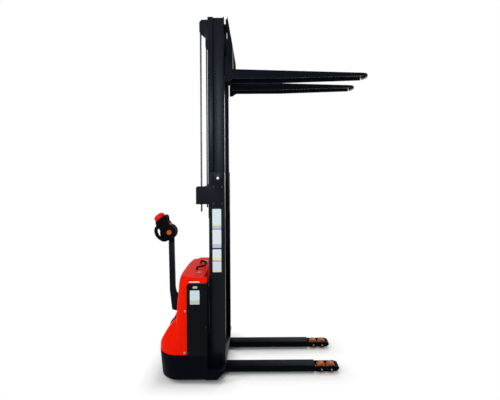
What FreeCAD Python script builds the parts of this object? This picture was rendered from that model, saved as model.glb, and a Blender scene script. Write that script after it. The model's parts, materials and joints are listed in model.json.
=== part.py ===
import FreeCAD, Part
import math
import os

from FreeCAD import Vector

# Frame: millimetres, X towards the fork tips, Y towards the left side, Z up, floor at Z 0
# The mast stands fully raised, as in the photograph

# Load forks
fork_length = 1150.0
fork_heel_x = -203.5
fork_overall_width = 570.0
fork_width = 165.0
fork_wall = 8.0
fork_heel_depth = 78.0
fork_tip_depth = 20.0
fork_flat_underside = 440.0
fork_fall = 38.0
fork_tip_radius = 60.0
fork_lowered_top = 121.0

# Fork uprights, the tapered webs that rise from the heels
upright_height = 440.0
upright_taper = 232.0
upright_depth = 42.0
upright_top_depth = 4.0
upright_tail = 23.0
upright_tail_depth = 26.0

# Mast travel
inner_stroke = 1229.0
carriage_stroke = 1229.0

# Outer mast rails
mast_half_width = 300.0
outer_rail_front_x = -272.0
outer_rail_depth = 133.0
outer_rail_reach = 42.0
outer_rail_flange = 12.0
outer_rail_web = 8.0
outer_mast_top = 1715.0

# Side plates that stiffen the rail heads and carry the chain beam
side_plate_thickness = 8.0
side_plate_height = 292.0
side_plate_boss_radius = 42.0
side_plate_boss_rise = 3.0
anchor_wing_length = 106.0
anchor_wing_bottom = 1449.0
anchor_wing_height = 150.0
anchor_wing_chamfer = 12.0

# Cross members of the outer mast
beam_thickness = 8.0
beam_gap = 19.0
lower_beam_bottom = 640.0
lower_beam_height = 120.0
foot_plate_thickness = 12.0

# Inner mast rails
inner_rail_gap = 5.0
inner_rail_setback = 3.0
inner_rail_width = 48.0
inner_rail_length = 1710.0
inner_rail_depth = 104.0
inner_rail_flange = 10.0
inner_rail_web = 10.0
rear_strip_depth = 36.0
rear_strip_width = 30.0
inner_floor_gap = 10.0
top_head_height = 70.0
bottom_bar_height = 60.0
cross_bar_thickness = 10.0
bottom_bar_jog = 160.0
bottom_bar_front_gap = 6.0
bottom_bar_front = 8.0
cross_bar_gap = 12.0

# Chain pulleys on the head of the inner mast
pulley_radius = 46.0
pulley_width = 22.0
pulley_bore = 12.0
chain_y = 178.0
chain_front_x = -392.0
chain_depth = 14.0
chain_width = 18.0
pulley_below_top = 60.0
pulley_cheek_thickness = 6.0
pulley_cheek_gap = 3.0
pulley_cheek_drop = 70.0
pulley_cheek_margin = 2.0
pulley_cheek_chamfer = 20.0
pulley_rim = 5.0
pulley_rim_bevel = 1.5
chain_gap = 0.5
chain_pitch = 16.0
chain_waist = 10.0
anchor_block_height = 14.0
anchor_bolt_radius = 7.0
anchor_bolt_drop = 74.0
anchor_nut_radius = 11.0
anchor_nut_height = 12.0

# Twin lift cylinders
cylinder_y = 120.0
cylinder_x = -394.0
cylinder_outer_radius = 26.0
cylinder_bore_radius = 20.0
rod_radius = 17.5
rod_fit = 0.05
gland_height = 40.0
gland_ring = 3.0
cylinder_cup_height = 6.0
cylinder_cup_wall = 4.0
cylinder_top = 1640.0
cylinder_floor = 14.0
rod_floor_gap = 20.0

# Guide rollers
guide_roller_radius = 41.0
guide_roller_width = 22.0
guide_pin_radius = 14.0
outer_roller_below_top = 50.0
inner_roller_radius = 53.5
inner_roller_width = 30.0
inner_roller_rise = 62.0
inner_roller_side_gap = 2.0
carriage_roller_width = 16.0
roller_web_gap = 3.0

# Fork carriage
carriage_plate = 12.0
carriage_bar_low = 19.0
carriage_bar_low_height = 120.0
carriage_bar_top_drop = 20.0
carriage_bar_height = 70.0
carriage_bracket_y = 186.0
carriage_bracket_rear_x = -366.0
carriage_roller_low = 36.0
carriage_roller_high = 361.0
chain_lug_height = 25.0

# Straddle legs under the forks
leg_centre_y = 205.0
leg_width = 96.0
leg_bottom = 24.0
leg_top = 73.0
leg_wall = 8.0
leg_tip_x = 688.0
leg_nose_length = 48.0
roller_bay_rear_x = 482.0
bay_end_gap = 6.0

# Tandem load rollers
load_roller_radius = 40.0
load_roller_width = 66.0
load_roller_core = 24.0
load_roller_rim = 6.0
load_roller_hub = 4.0
load_axle_radius = 10.0
load_roller_rear_x = 537.0
load_roller_spacing = 84.0

# Chassis tub with its rounded skirt
chassis_half_width = 395.0
chassis_rear_x = -829.0
chassis_draft = 17.0
chassis_bottom = 40.0
chassis_top = 235.0
chassis_corner = 170.0
chassis_side_draft = 6.5
chassis_wall = 6.0
chassis_deck = 10.0
chassis_front_x = -273.5
nose_top = 117.0
nose_start_x = -426.0
nose_chamfer = 60.0
nose_side_gap = 2.0

# Hood: an upper housing with a bowed back that leans forward
hood_side_gap = 3.0
hood_front_x = -414.0
hood_top = 850.0
hood_face_step = 10.0
hood_back_foot_x = -696.0
hood_back_bow = 24.0
hood_back_lean = 50.0
hood_corner = 60.0
brow_drop = 28.0
brow_reach = 24.0
brow_round = 0.3

# Hood shoulders: the wide deck near the mast and the narrow crown behind it
deck_rear_x = -590.0
deck_side_land = 102.0
deck_side_drop = 45.0
crown_side_land = 222.0
crown_side_drop = 50.0
shoulder_round = 0.27

# Hood tail, the dome over the drive unit
tail_land = 20.0
tail_front_x = -660.0
tail_crest_x = -720.0
tail_crest = 446.0
tail_rise = 20.0
tail_belly_x = -797.0
tail_belly = 345.0
tail_side_land = 60.0
tail_arch_y = 320.0
tail_arch = 398.0

# Hollows of the hood: the valley of the tiller, the bay behind the mast and the recess of the panels
valley_half_width = 170.0
valley_front_x = -640.0
valley_top = 640.0
cap_clearance = 12.0
bay_depth = 31.0
bay_half_width = 313.0
panel_gap = 0.3

# Battery block inside the hood
battery_length = 120.0
battery_width = 540.0
battery_height = 330.0
battery_gap = 4.0
battery_front_gap = 15.0

# Side panels, set into the hood, with a flange that closes the corner beside the mast
panel_rear_x = -576.0
panel_front_x = -412.0
panel_top = 818.0
panel_corner = 26.0
panel_thickness = 6.0
panel_proud = 2.0
panel_flange = 6.0
panel_flange_gap = 2.0
panel_lip_reach = 15.0
panel_lip_gap = 4.0

# Grab bar on the hood
grab_x = -478.0
grab_half_width = 112.0
grab_depth = 62.0
grab_tube = 8.0
grab_waist = 0.6
grab_rise = 24.0

# Tyred wheels
tyre_edge = 5.0
wheel_dish = 6.0
wheel_hub_wall = 12.0

# Steering turret
steer_x = -704.0
drive_wheel_radius = 100.0
drive_wheel_width = 64.0
drive_core_radius = 62.0
drive_axle_radius = 14.0
gearbox_width = 46.0
gearbox_gap = 6.0
gearbox_length = 76.0
gearbox_bottom = 52.0
turret_neck_radius = 70.0
turret_fit = 0.05
turret_ring = 24.0
turret_ring_height = 25.0
cap_radius = 104.0
cap_base = 300.0
cap_height = 84.0
cap_skirt = 22.0
cap_crown_radius = 54.0
cap_shoulder_radius = 86.0
cap_shoulder_drop = 22.0
yoke_above_pin = 20.0
yoke_cheek = 10.0
yoke_gap = 1.0
yoke_length = 70.0

# Tiller
pivot_gap = 69.0
pivot_radius = 9.0
pivot_fit = 0.05
foot_radius = 52.0
foot_brow = 0.85
arm_width = 40.0
arm_depth = 47.0
arm_knee_back = 78.0
arm_knee_height = 124.0
arm_knee_slope = 30.0
arm_knee_nose = 10.0
arm_boot_back = 81.0
arm_boot_drop = 41.0
arm_toe_back = 31.0
arm_toe_drop = 56.0
arm_top_back = 86.0
arm_top_height = 570.0

# Tiller head: a round belly on the arm and a raked crown
belly_radius = 72.0
belly_width = 112.0
belly_back = 110.0
belly_height = 665.0
belly_round = 12.0
crown_width = 104.0
crown_round = 10.0

# Outline of the crown in side view, as offsets forward of and above the belly's centre,
# with the two ends of the slant under the safety button
crown_slant_rear = (-113.5, 96.0)
crown_slant_front = (-29.0, 160.0)
crown_outline = [
    (-48.0, -14.0),
    (-93.0, 48.0),
    (-110.0, 70.0),
    crown_slant_rear,
    crown_slant_front,
    (-9.0, 144.0),
    (-4.0, 104.0),
    (11.0, 84.0),
    (30.0, 56.0),
]

# Safety button, a dome on the slanting top of the crown
button_along = 45.587
button_radius = 52.0
button_height = 45.0
button_wall = 14.0
button_crest_radius = 16.0
button_gap = 0.3

# Each bend of a round bar takes this share of the shorter run beside it
bar_bend = 0.45

# Loop grips, as offsets forward of and above the belly's centre and the distance from the middle plane
grip_tube = 16.0
grip_route = [
    (-80.0, 56.0, 30.0),
    (-101.0, 46.0, 52.0),
    (-95.0, 18.0, 92.0),
    (-74.0, -16.0, 112.0),
    (-48.0, -42.0, 110.0),
    (-20.0, -62.0, 84.0),
    (0.0, -56.0, 35.0),
]

# Web between the grips under the finger slot, in the same offsets
web_thickness = 52.0
web_outline = [
    (-50.0, -12.0),
    (-60.0, -26.0),
    (-79.0, -44.0),
    (-48.0, -67.0),
    (-12.0, -74.0),
    (-12.0, -20.0),
]

# Drive knobs on the cheeks of the head
knob_radius = 22.0
knob_width = 20.0
knob_forward = 18.0
knob_rise = 6.0

# Stabiliser castors
castor_x = -560.0
castor_inset = 125.0
castor_wheel_radius = 50.0
castor_wheel_width = 40.0
castor_core_radius = 28.0
castor_axle_radius = 7.0
castor_trail = 28.0
castor_cheek = 5.0
castor_cheek_gap = 3.0
castor_plate = 8.0
castor_plate_radius = 38.0
castor_cheek_foot = 14.0
castor_cheek_front = 22.0
castor_cheek_rear = 26.0
castor_head_gap = 6.0
castor_plate_gap = 0.3
castor_stem_radius = 14.0
castor_stem_fit = 0.05

# Sizes worked out from the ones above
leg_root_x = nose_start_x
castor_y = chassis_half_width - castor_inset
pivot_height = cap_base + cap_height + foot_radius + pivot_gap
bay_rear_x = hood_front_x - bay_depth
belly_x = steer_x - belly_back
belly_z = pivot_height + belly_height
foot_plate_bottom = leg_top
foot_plate_top = foot_plate_bottom + foot_plate_thickness
cylinder_bottom = foot_plate_top + cylinder_cup_height
outer_rail_rear_x = outer_rail_front_x - outer_rail_depth
fork_tip_x = fork_heel_x + fork_length
fork_heel_top = fork_lowered_top + inner_stroke + carriage_stroke
fork_underside = fork_heel_top - fork_heel_depth
fork_outer_y = fork_overall_width / 2
fork_inner_y = fork_outer_y - fork_width
upright_top = fork_heel_top + upright_height
upright_rear_x = fork_heel_x - upright_depth
inner_bottom = foot_plate_top + inner_floor_gap + inner_stroke
inner_top = inner_bottom + inner_rail_length
inner_rail_outer_y = mast_half_width - outer_rail_reach - inner_rail_gap
inner_rail_inner_y = inner_rail_outer_y - inner_rail_width
inner_rail_front_x = outer_rail_front_x - inner_rail_setback
inner_rail_rear_x = inner_rail_front_x - inner_rail_depth
rear_strip_x = inner_rail_rear_x - rear_strip_depth
guide_x = (inner_rail_front_x + inner_rail_rear_x) / 2
outer_guide_x = outer_rail_front_x - outer_rail_depth / 2
chain_rear_x = chain_front_x - 2 * pulley_radius
pulley_x = chain_front_x - pulley_radius
pulley_z = inner_top - pulley_below_top
chain_beam_x = rear_strip_x - beam_gap
chain_foot = anchor_wing_bottom + beam_thickness + anchor_block_height
hood_half_width = chassis_half_width - hood_side_gap
panel_inner_y = hood_half_width + panel_proud - panel_thickness
tail_land_top = chassis_top + tail_land
nose_inner_y = mast_half_width + side_plate_thickness + nose_side_gap
load_roller_front_x = load_roller_rear_x + load_roller_spacing
drive_axle_z = drive_wheel_radius
castor_top = 2 * castor_wheel_radius + castor_head_gap


def box(x0, x1, y0, y1, z0, z1):
    """Block between three pairs of coordinates."""
    return Part.makeBox(x1 - x0, y1 - y0, z1 - z0, Vector(x0, y0, z0))


def rod_y(x, z, radius, y0, y1):
    """Cylinder along Y."""
    return Part.makeCylinder(radius, y1 - y0, Vector(x, y0, z), Vector(0, 1, 0))


def rod_z(x, y, radius, z0, z1):
    """Cylinder along Z."""
    return Part.makeCylinder(radius, z1 - z0, Vector(x, y, z0), Vector(0, 0, 1))


def side_prism(outline, y0, y1):
    """Solid from an outline of X and Z points, drawn out along Y."""
    points = [Vector(x, y0, z) for x, z in outline]
    face = Part.Face(Part.makePolygon(points + points[:1]))
    return face.extrude(Vector(0, y1 - y0, 0))


def mirrored(shape):
    """The same piece on the other side of the truck."""
    return shape.mirror(Vector(0, 0, 0), Vector(0, 1, 0))


def joined(pieces):
    """One clean solid from pieces that touch or overlap."""
    whole = pieces[0]
    for piece in pieces[1:]:
        whole = whole.fuse(piece)
    return whole.removeSplitter()


def arc_edge(start, middle, end):
    """Arc through three points."""
    return Part.Arc(start, middle, end).toShape()


def rounded_end_wire(rear_x, front_x, half_width, corner, z):
    """Plan outline with two rounded rear corners and a square front."""
    bend = corner * (1 - math.sqrt(0.5))
    left = [
        Vector(front_x, half_width, z),
        Vector(rear_x + corner, half_width, z),
        Vector(rear_x + bend, half_width - bend, z),
        Vector(rear_x, half_width - corner, z),
    ]
    right = [Vector(p.x, -p.y, z) for p in reversed(left)]
    edges = [
        Part.makeLine(left[0], left[1]),
        arc_edge(left[1], left[2], left[3]),
        Part.makeLine(left[3], right[0]),
        arc_edge(right[0], right[1], right[2]),
        Part.makeLine(right[2], right[3]),
        Part.makeLine(right[3], left[0]),
    ]
    return Part.Wire(edges)


def base_tub():
    """Open-bottomed steel tub whose skirt leans out towards the hood."""
    low = rounded_end_wire(chassis_rear_x + chassis_draft, nose_start_x, chassis_half_width - chassis_side_draft,
                           chassis_corner, chassis_bottom)
    high = rounded_end_wire(chassis_rear_x, nose_start_x, chassis_half_width, chassis_corner, chassis_top)
    outside = Part.makeLoft([low, high], True, True)
    wall = chassis_wall
    low_in = rounded_end_wire(chassis_rear_x + chassis_draft + wall, nose_start_x - wall,
                              chassis_half_width - chassis_side_draft - wall, chassis_corner - wall, chassis_bottom)
    high_in = rounded_end_wire(chassis_rear_x + wall, nose_start_x - wall, chassis_half_width - wall,
                               chassis_corner - wall, chassis_top - chassis_deck)
    tub = outside.cut(Part.makeLoft([low_in, high_in], True, True))
    ring_top = chassis_top + turret_ring_height
    tub = tub.fuse(rod_z(steer_x, 0, turret_neck_radius + turret_ring, chassis_top, ring_top))
    tub = tub.cut(rod_z(steer_x, 0, turret_neck_radius + turret_fit, chassis_bottom, ring_top + 1))
    # Low nose boxes on both sides of the mast foot
    nose = [
        (nose_start_x - wall, chassis_bottom),
        (chassis_front_x - nose_chamfer, chassis_bottom),
        (chassis_front_x, chassis_bottom + nose_chamfer),
        (chassis_front_x, nose_top),
        (panel_front_x, nose_top),
        (panel_front_x, chassis_top),
        (nose_start_x - wall, chassis_top),
    ]
    side_box = side_prism(nose, nose_inner_y, chassis_half_width)
    for y in (castor_y, -castor_y):
        tub = tub.fuse(rod_z(castor_x, y, castor_plate_radius, castor_top + castor_plate + castor_plate_gap,
                             chassis_top - chassis_deck))
        tub = tub.cut(rod_z(castor_x, y, castor_stem_radius + castor_stem_fit, chassis_bottom,
                            chassis_top - 2 * chassis_deck))
    return joined([tub, side_box, mirrored(side_box)])


def leg():
    """Left straddle leg: an open channel whose roller bay has no top plate."""
    y0 = leg_centre_y - leg_width / 2
    y1 = leg_centre_y + leg_width / 2
    outline = [
        (leg_root_x, leg_bottom),
        (leg_tip_x - leg_nose_length / 2, leg_bottom),
        (leg_tip_x, (leg_bottom + leg_top) / 2),
        (leg_tip_x - leg_nose_length / 8, (leg_bottom + leg_top) / 2 + leg_wall),
        (leg_tip_x - leg_nose_length, leg_top - leg_wall / 2),
        (leg_tip_x - leg_nose_length, leg_top - leg_wall),
        (roller_bay_rear_x, leg_top - leg_wall),
        (roller_bay_rear_x, leg_top),
        (leg_root_x, leg_top),
    ]
    body = side_prism(outline, y0, y1)
    bay_front = load_roller_front_x + load_roller_radius + bay_end_gap
    bay = box(roller_bay_rear_x, bay_front, y0 + leg_wall, y1 - leg_wall, leg_bottom - 1, leg_top + 1)
    channel = box(leg_root_x - 1, roller_bay_rear_x - leg_wall, y0 + leg_wall, y1 - leg_wall,
                  leg_bottom - 1, leg_top - leg_wall)
    body = body.cut(bay).cut(channel)
    for x in (load_roller_rear_x, load_roller_front_x):
        body = body.cut(rod_y(x, load_roller_radius, load_axle_radius, y0 - 1, y1 + 1))
    return body


def load_axles():
    """Axles of the left tandem rollers, pressed into the leg's cheeks."""
    y0 = leg_centre_y - leg_width / 2
    y1 = leg_centre_y + leg_width / 2
    return Part.makeCompound([
        rod_y(x, load_roller_radius, load_axle_radius, y0, y1)
        for x in (load_roller_rear_x, load_roller_front_x)
    ])


def load_roller(x):
    """Polyurethane roller with a rounded rim, turning on its axle."""
    half = load_roller_width / 2
    side = half - load_roller_hub
    rim = load_roller_rim
    bore = load_axle_radius + rod_fit
    profile = [
        Vector(bore, -half, 0),
        Vector(load_roller_core, -half, 0),
        Vector(load_roller_core, -side, 0),
        Vector(load_roller_radius - rim, -side, 0),
        Vector(load_roller_radius, rim - side, 0),
        Vector(load_roller_radius, side - rim, 0),
        Vector(load_roller_radius - rim, side, 0),
        Vector(load_roller_core, side, 0),
        Vector(load_roller_core, half, 0),
        Vector(bore, half, 0),
    ]
    face = Part.Face(Part.makePolygon(profile + profile[:1]))
    solid = face.revolve(Vector(0, 0, 0), Vector(0, 1, 0), 360)
    solid.translate(Vector(x, leg_centre_y, load_roller_radius))
    return solid


def outer_rail():
    """Left outer rail, a rolled channel that opens inwards."""
    y1 = mast_half_width
    y0 = mast_half_width - outer_rail_reach
    rail = box(outer_rail_rear_x, outer_rail_front_x, y0, y1, foot_plate_top, outer_mast_top)
    hollow = box(outer_rail_rear_x + outer_rail_flange, outer_rail_front_x - outer_rail_flange,
                 y0 - 1, y1 - outer_rail_web, foot_plate_top - 1, outer_mast_top + 1)
    return rail.cut(hollow)


def side_plate():
    """Left stiffening plate with its roller boss and the wing that carries the chain beam."""
    y0 = mast_half_width
    y1 = y0 + side_plate_thickness
    wing_rear = outer_rail_rear_x - anchor_wing_length
    wing_top = anchor_wing_bottom + anchor_wing_height
    outline = [
        (outer_rail_front_x, outer_mast_top - side_plate_height),
        (outer_rail_front_x, outer_mast_top),
        (outer_rail_rear_x, outer_mast_top),
        (outer_rail_rear_x, wing_top),
        (wing_rear + anchor_wing_chamfer, wing_top),
        (wing_rear, wing_top - anchor_wing_chamfer),
        (wing_rear, anchor_wing_bottom),
        (outer_rail_rear_x, anchor_wing_bottom),
        (outer_rail_rear_x, outer_mast_top - side_plate_height),
    ]
    plate = side_prism(outline, y0, y1)
    boss = rod_y(guide_x, outer_mast_top - outer_roller_below_top, side_plate_boss_radius, y1,
                 y1 + side_plate_boss_rise)
    return joined([plate, boss])


def outer_cross_members():
    """Foot plate, lower beam and chain beam between the outer rails."""
    foot = box(leg_root_x, chassis_front_x, -nose_inner_y, nose_inner_y, foot_plate_bottom, foot_plate_top)
    rear = chain_beam_x - beam_thickness
    lower = box(rear, chain_beam_x, -mast_half_width, mast_half_width,
                lower_beam_bottom, lower_beam_bottom + lower_beam_height)
    lower_ears = [
        box(chain_beam_x, outer_rail_rear_x, y, y + beam_thickness,
            lower_beam_bottom, lower_beam_bottom + lower_beam_height)
        for y in (-mast_half_width, mast_half_width - beam_thickness)
    ]
    wing_top = anchor_wing_bottom + anchor_wing_height
    upright = box(rear, chain_beam_x, -mast_half_width, mast_half_width, anchor_wing_bottom, wing_top)
    shelf = box(outer_rail_rear_x - anchor_wing_length, rear, -mast_half_width, mast_half_width,
                anchor_wing_bottom, anchor_wing_bottom + beam_thickness)
    for y in (chain_y, -chain_y):
        shelf = shelf.cut(rod_z(chain_rear_x, y, anchor_bolt_radius + rod_fit, anchor_wing_bottom - 1, wing_top))
    cups = [
        rod_z(cylinder_x, y, cylinder_outer_radius + cylinder_cup_wall, foot_plate_top, cylinder_bottom)
        for y in (cylinder_y, -cylinder_y)
    ]
    return Part.makeCompound([joined([foot] + cups), joined([lower] + lower_ears), joined([upright, shelf])])


def lift_cylinder():
    """Left lift cylinder with a wide bore below its gland."""
    bottom = cylinder_bottom
    gland = cylinder_top - gland_height
    tube = rod_z(cylinder_x, cylinder_y, cylinder_outer_radius, bottom, cylinder_top)
    collar = rod_z(cylinder_x, cylinder_y, cylinder_outer_radius + gland_ring, gland, cylinder_top)
    bore = rod_z(cylinder_x, cylinder_y, cylinder_bore_radius, bottom + cylinder_floor, gland)
    rod_way = rod_z(cylinder_x, cylinder_y, rod_radius + rod_fit, gland, cylinder_top + 1)
    return joined([tube, collar]).cut(bore).cut(rod_way)


def lift_rod():
    """Left piston rod, held under the head of the inner mast."""
    bottom = cylinder_bottom + cylinder_floor + rod_floor_gap + inner_stroke
    return rod_z(cylinder_x, cylinder_y, rod_radius, bottom, inner_top - top_head_height)


def outer_guides():
    """Rollers on the heads of the outer rails, running in the inner rails."""
    z = outer_mast_top - outer_roller_below_top
    y_in = (inner_rail_outer_y + inner_rail_inner_y) / 2 + inner_rail_web / 2 + roller_web_gap
    left = joined([
        rod_y(guide_x, z, guide_roller_radius, y_in, y_in + guide_roller_width),
        rod_y(guide_x, z, guide_pin_radius, y_in, mast_half_width - outer_rail_web),
    ])
    return Part.makeCompound([left, mirrored(left)])


def inner_rail():
    """Left inner rail: a beam section with a closing strip along its back."""
    y0 = inner_rail_inner_y
    y1 = inner_rail_outer_y
    rail = box(inner_rail_rear_x, inner_rail_front_x, y0, y1, inner_bottom, inner_top)
    web_y = (y0 + y1) / 2
    x0 = inner_rail_rear_x + inner_rail_flange
    x1 = inner_rail_front_x - inner_rail_flange
    rail = rail.cut(box(x0, x1, y0 - 1, web_y - inner_rail_web / 2, inner_bottom - 1, inner_top + 1))
    rail = rail.cut(box(x0, x1, web_y + inner_rail_web / 2, y1 + 1, inner_bottom - 1, inner_top + 1))
    strip = box(rear_strip_x, inner_rail_rear_x, y1 - rear_strip_width, y1, inner_bottom, inner_top)
    return joined([rail, strip])


def inner_cross_members():
    """Head of the inner mast with the pulley cheeks, and its bottom bar."""
    y = inner_rail_outer_y - rear_strip_width
    front = inner_rail_rear_x - cross_bar_gap
    head = box(rear_strip_x, front, -y, y, inner_top - top_head_height, inner_top)
    pieces = [head]
    cheek_rear = pulley_x - pulley_radius - chain_depth / 2 - pulley_cheek_margin
    half = pulley_width / 2 + pulley_cheek_gap
    for side in (1, -1):
        for inner in (chain_y - half - pulley_cheek_thickness, chain_y + half):
            outline = [
                (front, inner_top),
                (cheek_rear + pulley_cheek_chamfer, inner_top),
                (cheek_rear, inner_top - pulley_cheek_chamfer),
                (cheek_rear, inner_top - pulley_below_top - pulley_radius),
                (rear_strip_x, inner_top - pulley_below_top - pulley_radius - pulley_cheek_drop),
                (rear_strip_x, inner_top - top_head_height),
                (front, inner_top - top_head_height),
            ]
            low, high = sorted((side * inner, side * (inner + pulley_cheek_thickness)))
            pieces.append(side_prism(outline, low, high))
    whole = joined(pieces)
    for side in (1, -1):
        # Window that lets the pulley and its chain through the head
        low, high = sorted((side * (chain_y - half), side * (chain_y + half)))
        whole = whole.cut(box(rear_strip_x - 1, front + 1, low, high, inner_top - top_head_height - 1,
                              inner_top + 1))
        pin_low, pin_high = sorted((side * (chain_y - half - pulley_cheek_thickness),
                                    side * (chain_y + half + pulley_cheek_thickness)))
        whole = whole.fuse(rod_y(pulley_x, pulley_z, pulley_bore, pin_low, pin_high))
    # The bottom tie steps forward round the lift cylinders
    z0 = inner_bottom
    z1 = inner_bottom + bottom_bar_height
    rear_face = rear_strip_x + cross_bar_thickness
    front_x = cylinder_x + cylinder_outer_radius + bottom_bar_front_gap
    jog = bottom_bar_jog
    tie = [box(front_x, front_x + bottom_bar_front, -jog, jog, z0, z1)]
    for side in (1, -1):
        low, high = sorted((side * (jog - bottom_bar_front), side * y))
        tie.append(box(rear_strip_x, rear_face, low, high, z0, z1))
        low, high = sorted((side * (jog - bottom_bar_front), side * jog))
        tie.append(box(rear_strip_x, front_x + bottom_bar_front, low, high, z0, z1))
    return Part.makeCompound([whole.removeSplitter(), joined(tie)])


def inner_guides():
    """Rollers at the foot of the inner rails, running in the outer rails."""
    z = inner_bottom + inner_roller_rise
    web_y = (inner_rail_outer_y + inner_rail_inner_y) / 2 + inner_rail_web / 2
    y1 = mast_half_width - outer_rail_web - inner_roller_side_gap
    left = joined([
        rod_y(outer_guide_x, z, inner_roller_radius, y1 - inner_roller_width, y1),
        rod_y(outer_guide_x, z, guide_pin_radius, web_y, y1),
    ])
    return Part.makeCompound([left, mirrored(left)])


def chain_pulley():
    """Left pulley with a groove for the chain."""
    half = pulley_width / 2
    inner = pulley_bore + rod_fit
    root = pulley_radius - chain_depth / 2 - chain_gap
    rim = root + pulley_rim
    profile = [
        Vector(inner, -half, 0),
        Vector(rim, -half, 0),
        Vector(root, -half + pulley_rim_bevel, 0),
        Vector(root, half - pulley_rim_bevel, 0),
        Vector(rim, half, 0),
        Vector(inner, half, 0),
    ]
    face = Part.Face(Part.makePolygon(profile + profile[:1]))
    solid = face.revolve(Vector(0, 0, 0), Vector(0, 1, 0), 360)
    solid.translate(Vector(pulley_x, chain_y, pulley_z))
    return solid


def chain_strand(x, bottom, top):
    """Stretch of leaf chain, waisted between its pins."""
    wide = chain_depth / 2
    waist = chain_waist / 2
    links = max(1, round((top - bottom) / chain_pitch))
    step = (top - bottom) / links
    front = [(x + wide, bottom)]
    for i in range(links):
        front += [(x + waist, bottom + (i + 0.5) * step), (x + wide, bottom + (i + 1) * step)]
    back = [(2 * x - px, z) for px, z in reversed(front)]
    return side_prism(front + back, chain_y - chain_width / 2, chain_y + chain_width / 2)


def rear_chain():
    """Left lift chain from its anchor up to the pulley."""
    return chain_strand(chain_rear_x, chain_foot, pulley_z)


def chain_anchor():
    """Threaded anchor and its block under the left chain."""
    bottom = chain_foot - anchor_block_height
    stud = rod_z(chain_rear_x, chain_y, anchor_bolt_radius, anchor_wing_bottom - anchor_bolt_drop, bottom)
    block = box(chain_rear_x - chain_depth / 2, chain_rear_x + chain_depth / 2,
                chain_y - chain_width / 2, chain_y + chain_width / 2, bottom, chain_foot)
    nut = rod_z(chain_rear_x, chain_y, anchor_nut_radius, anchor_wing_bottom - anchor_nut_height,
                anchor_wing_bottom)
    return joined([stud, block, nut])


def front_chain():
    """Left lift chain from the pulley down to the carriage."""
    return chain_strand(chain_front_x, fork_heel_top + carriage_roller_high, pulley_z)


def fork():
    """Left fork: a tapered channel, open below, with its tapered upright webs."""
    flat_end = fork_heel_x + fork_flat_underside
    slope = fork_fall / fork_length

    def top_at(x):
        return fork_heel_top - (x - fork_heel_x) * slope

    tip_bottom = top_at(fork_tip_x) - fork_tip_depth
    tail_x = upright_rear_x - upright_tail
    web = [
        (tail_x, fork_underside - upright_tail_depth),
        (tail_x + upright_tail_depth, fork_underside - upright_tail_depth),
        (fork_heel_x, fork_underside),
        (flat_end, fork_underside),
        (fork_tip_x, tip_bottom),
        (fork_tip_x, top_at(fork_tip_x)),
        (fork_heel_x, fork_heel_top),
        (fork_heel_x, upright_top - upright_taper),
        (upright_rear_x + upright_top_depth, upright_top),
        (upright_rear_x, upright_top),
        (upright_rear_x, fork_heel_top + carriage_bar_low_height),
        (tail_x, fork_heel_top + carriage_bar_low_height - upright_tail),
    ]
    outer = side_prism(web, fork_outer_y - fork_wall, fork_outer_y)
    plain = [p for p in web if p[0] >= upright_rear_x and p[1] >= fork_underside]
    plain = [(upright_rear_x, fork_underside)] + plain[:-1]
    inner = side_prism(plain, fork_inner_y, fork_inner_y + fork_wall)
    top = side_prism([
        (fork_heel_x - fork_wall, fork_heel_top),
        (fork_heel_x - fork_wall, fork_heel_top - fork_wall),
        (fork_tip_x, top_at(fork_tip_x) - fork_wall),
        (fork_tip_x, top_at(fork_tip_x)),
        (fork_heel_x, fork_heel_top),
    ], fork_inner_y, fork_outer_y)
    face_plate = box(fork_heel_x - fork_wall, fork_heel_x, fork_inner_y, fork_outer_y,
                     fork_heel_top - fork_wall, upright_top - upright_taper)
    nose = box(fork_tip_x - 3 * fork_wall, fork_tip_x, fork_inner_y, fork_outer_y,
               tip_bottom, top_at(fork_tip_x) - fork_wall / 2)
    whole = joined([outer, inner, top, face_plate, nose])
    # Rounded tip in plan
    centre_y = (fork_inner_y + fork_outer_y) / 2
    radius = fork_tip_radius
    corner_x = fork_tip_x - radius
    for side in (1, -1):
        edge_y = centre_y + side * fork_width / 2
        low, high = sorted((edge_y - side * radius, edge_y + side))
        corner = box(corner_x, fork_tip_x + 1, low, high, fork_underside, fork_heel_top)
        keep = rod_z(corner_x, edge_y - side * radius, radius, fork_underside - 1, fork_heel_top + 1)
        whole = whole.cut(corner.cut(keep))
    return whole.removeSplitter()


def carriage_frame():
    """Cross bars between the uprights, with the roller brackets behind them."""
    rear = upright_rear_x - carriage_plate
    low_bottom = fork_heel_top - carriage_bar_low
    low = box(rear, upright_rear_x, -fork_outer_y + fork_wall, fork_outer_y - fork_wall,
              low_bottom, low_bottom + carriage_bar_low_height)
    top_z = upright_top - carriage_bar_top_drop
    high = box(rear, upright_rear_x, -fork_outer_y, fork_outer_y, top_z - carriage_bar_height, top_z)
    pieces = [low, high]
    for side in (1, -1):
        y0, y1 = sorted((side * (carriage_bracket_y - carriage_plate), side * carriage_bracket_y))
        pieces.append(box(carriage_bracket_rear_x, rear, y0, y1, low_bottom, top_z))
        lug_top = fork_heel_top + carriage_roller_high
        lug_y0, lug_y1 = sorted((side * (chain_y - chain_width / 2), side * carriage_bracket_y))
        pieces.append(box(chain_front_x - chain_depth / 2, carriage_bracket_rear_x, lug_y0, lug_y1,
                          lug_top - chain_lug_height, lug_top))
    return joined(pieces)


def carriage_guides():
    """Four rollers that run inside the inner rails."""
    solids = []
    web_y = (inner_rail_outer_y + inner_rail_inner_y) / 2 - inner_rail_web / 2
    for rise in (carriage_roller_low, carriage_roller_high):
        z = fork_heel_top + rise
        y1 = web_y - roller_web_gap
        left = joined([
            rod_y(guide_x, z, guide_roller_radius, y1 - carriage_roller_width, y1),
            rod_y(guide_x, z, guide_pin_radius, carriage_bracket_y, y1),
        ])
        solids += [left, mirrored(left)]
    return Part.makeCompound(solids)


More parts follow.
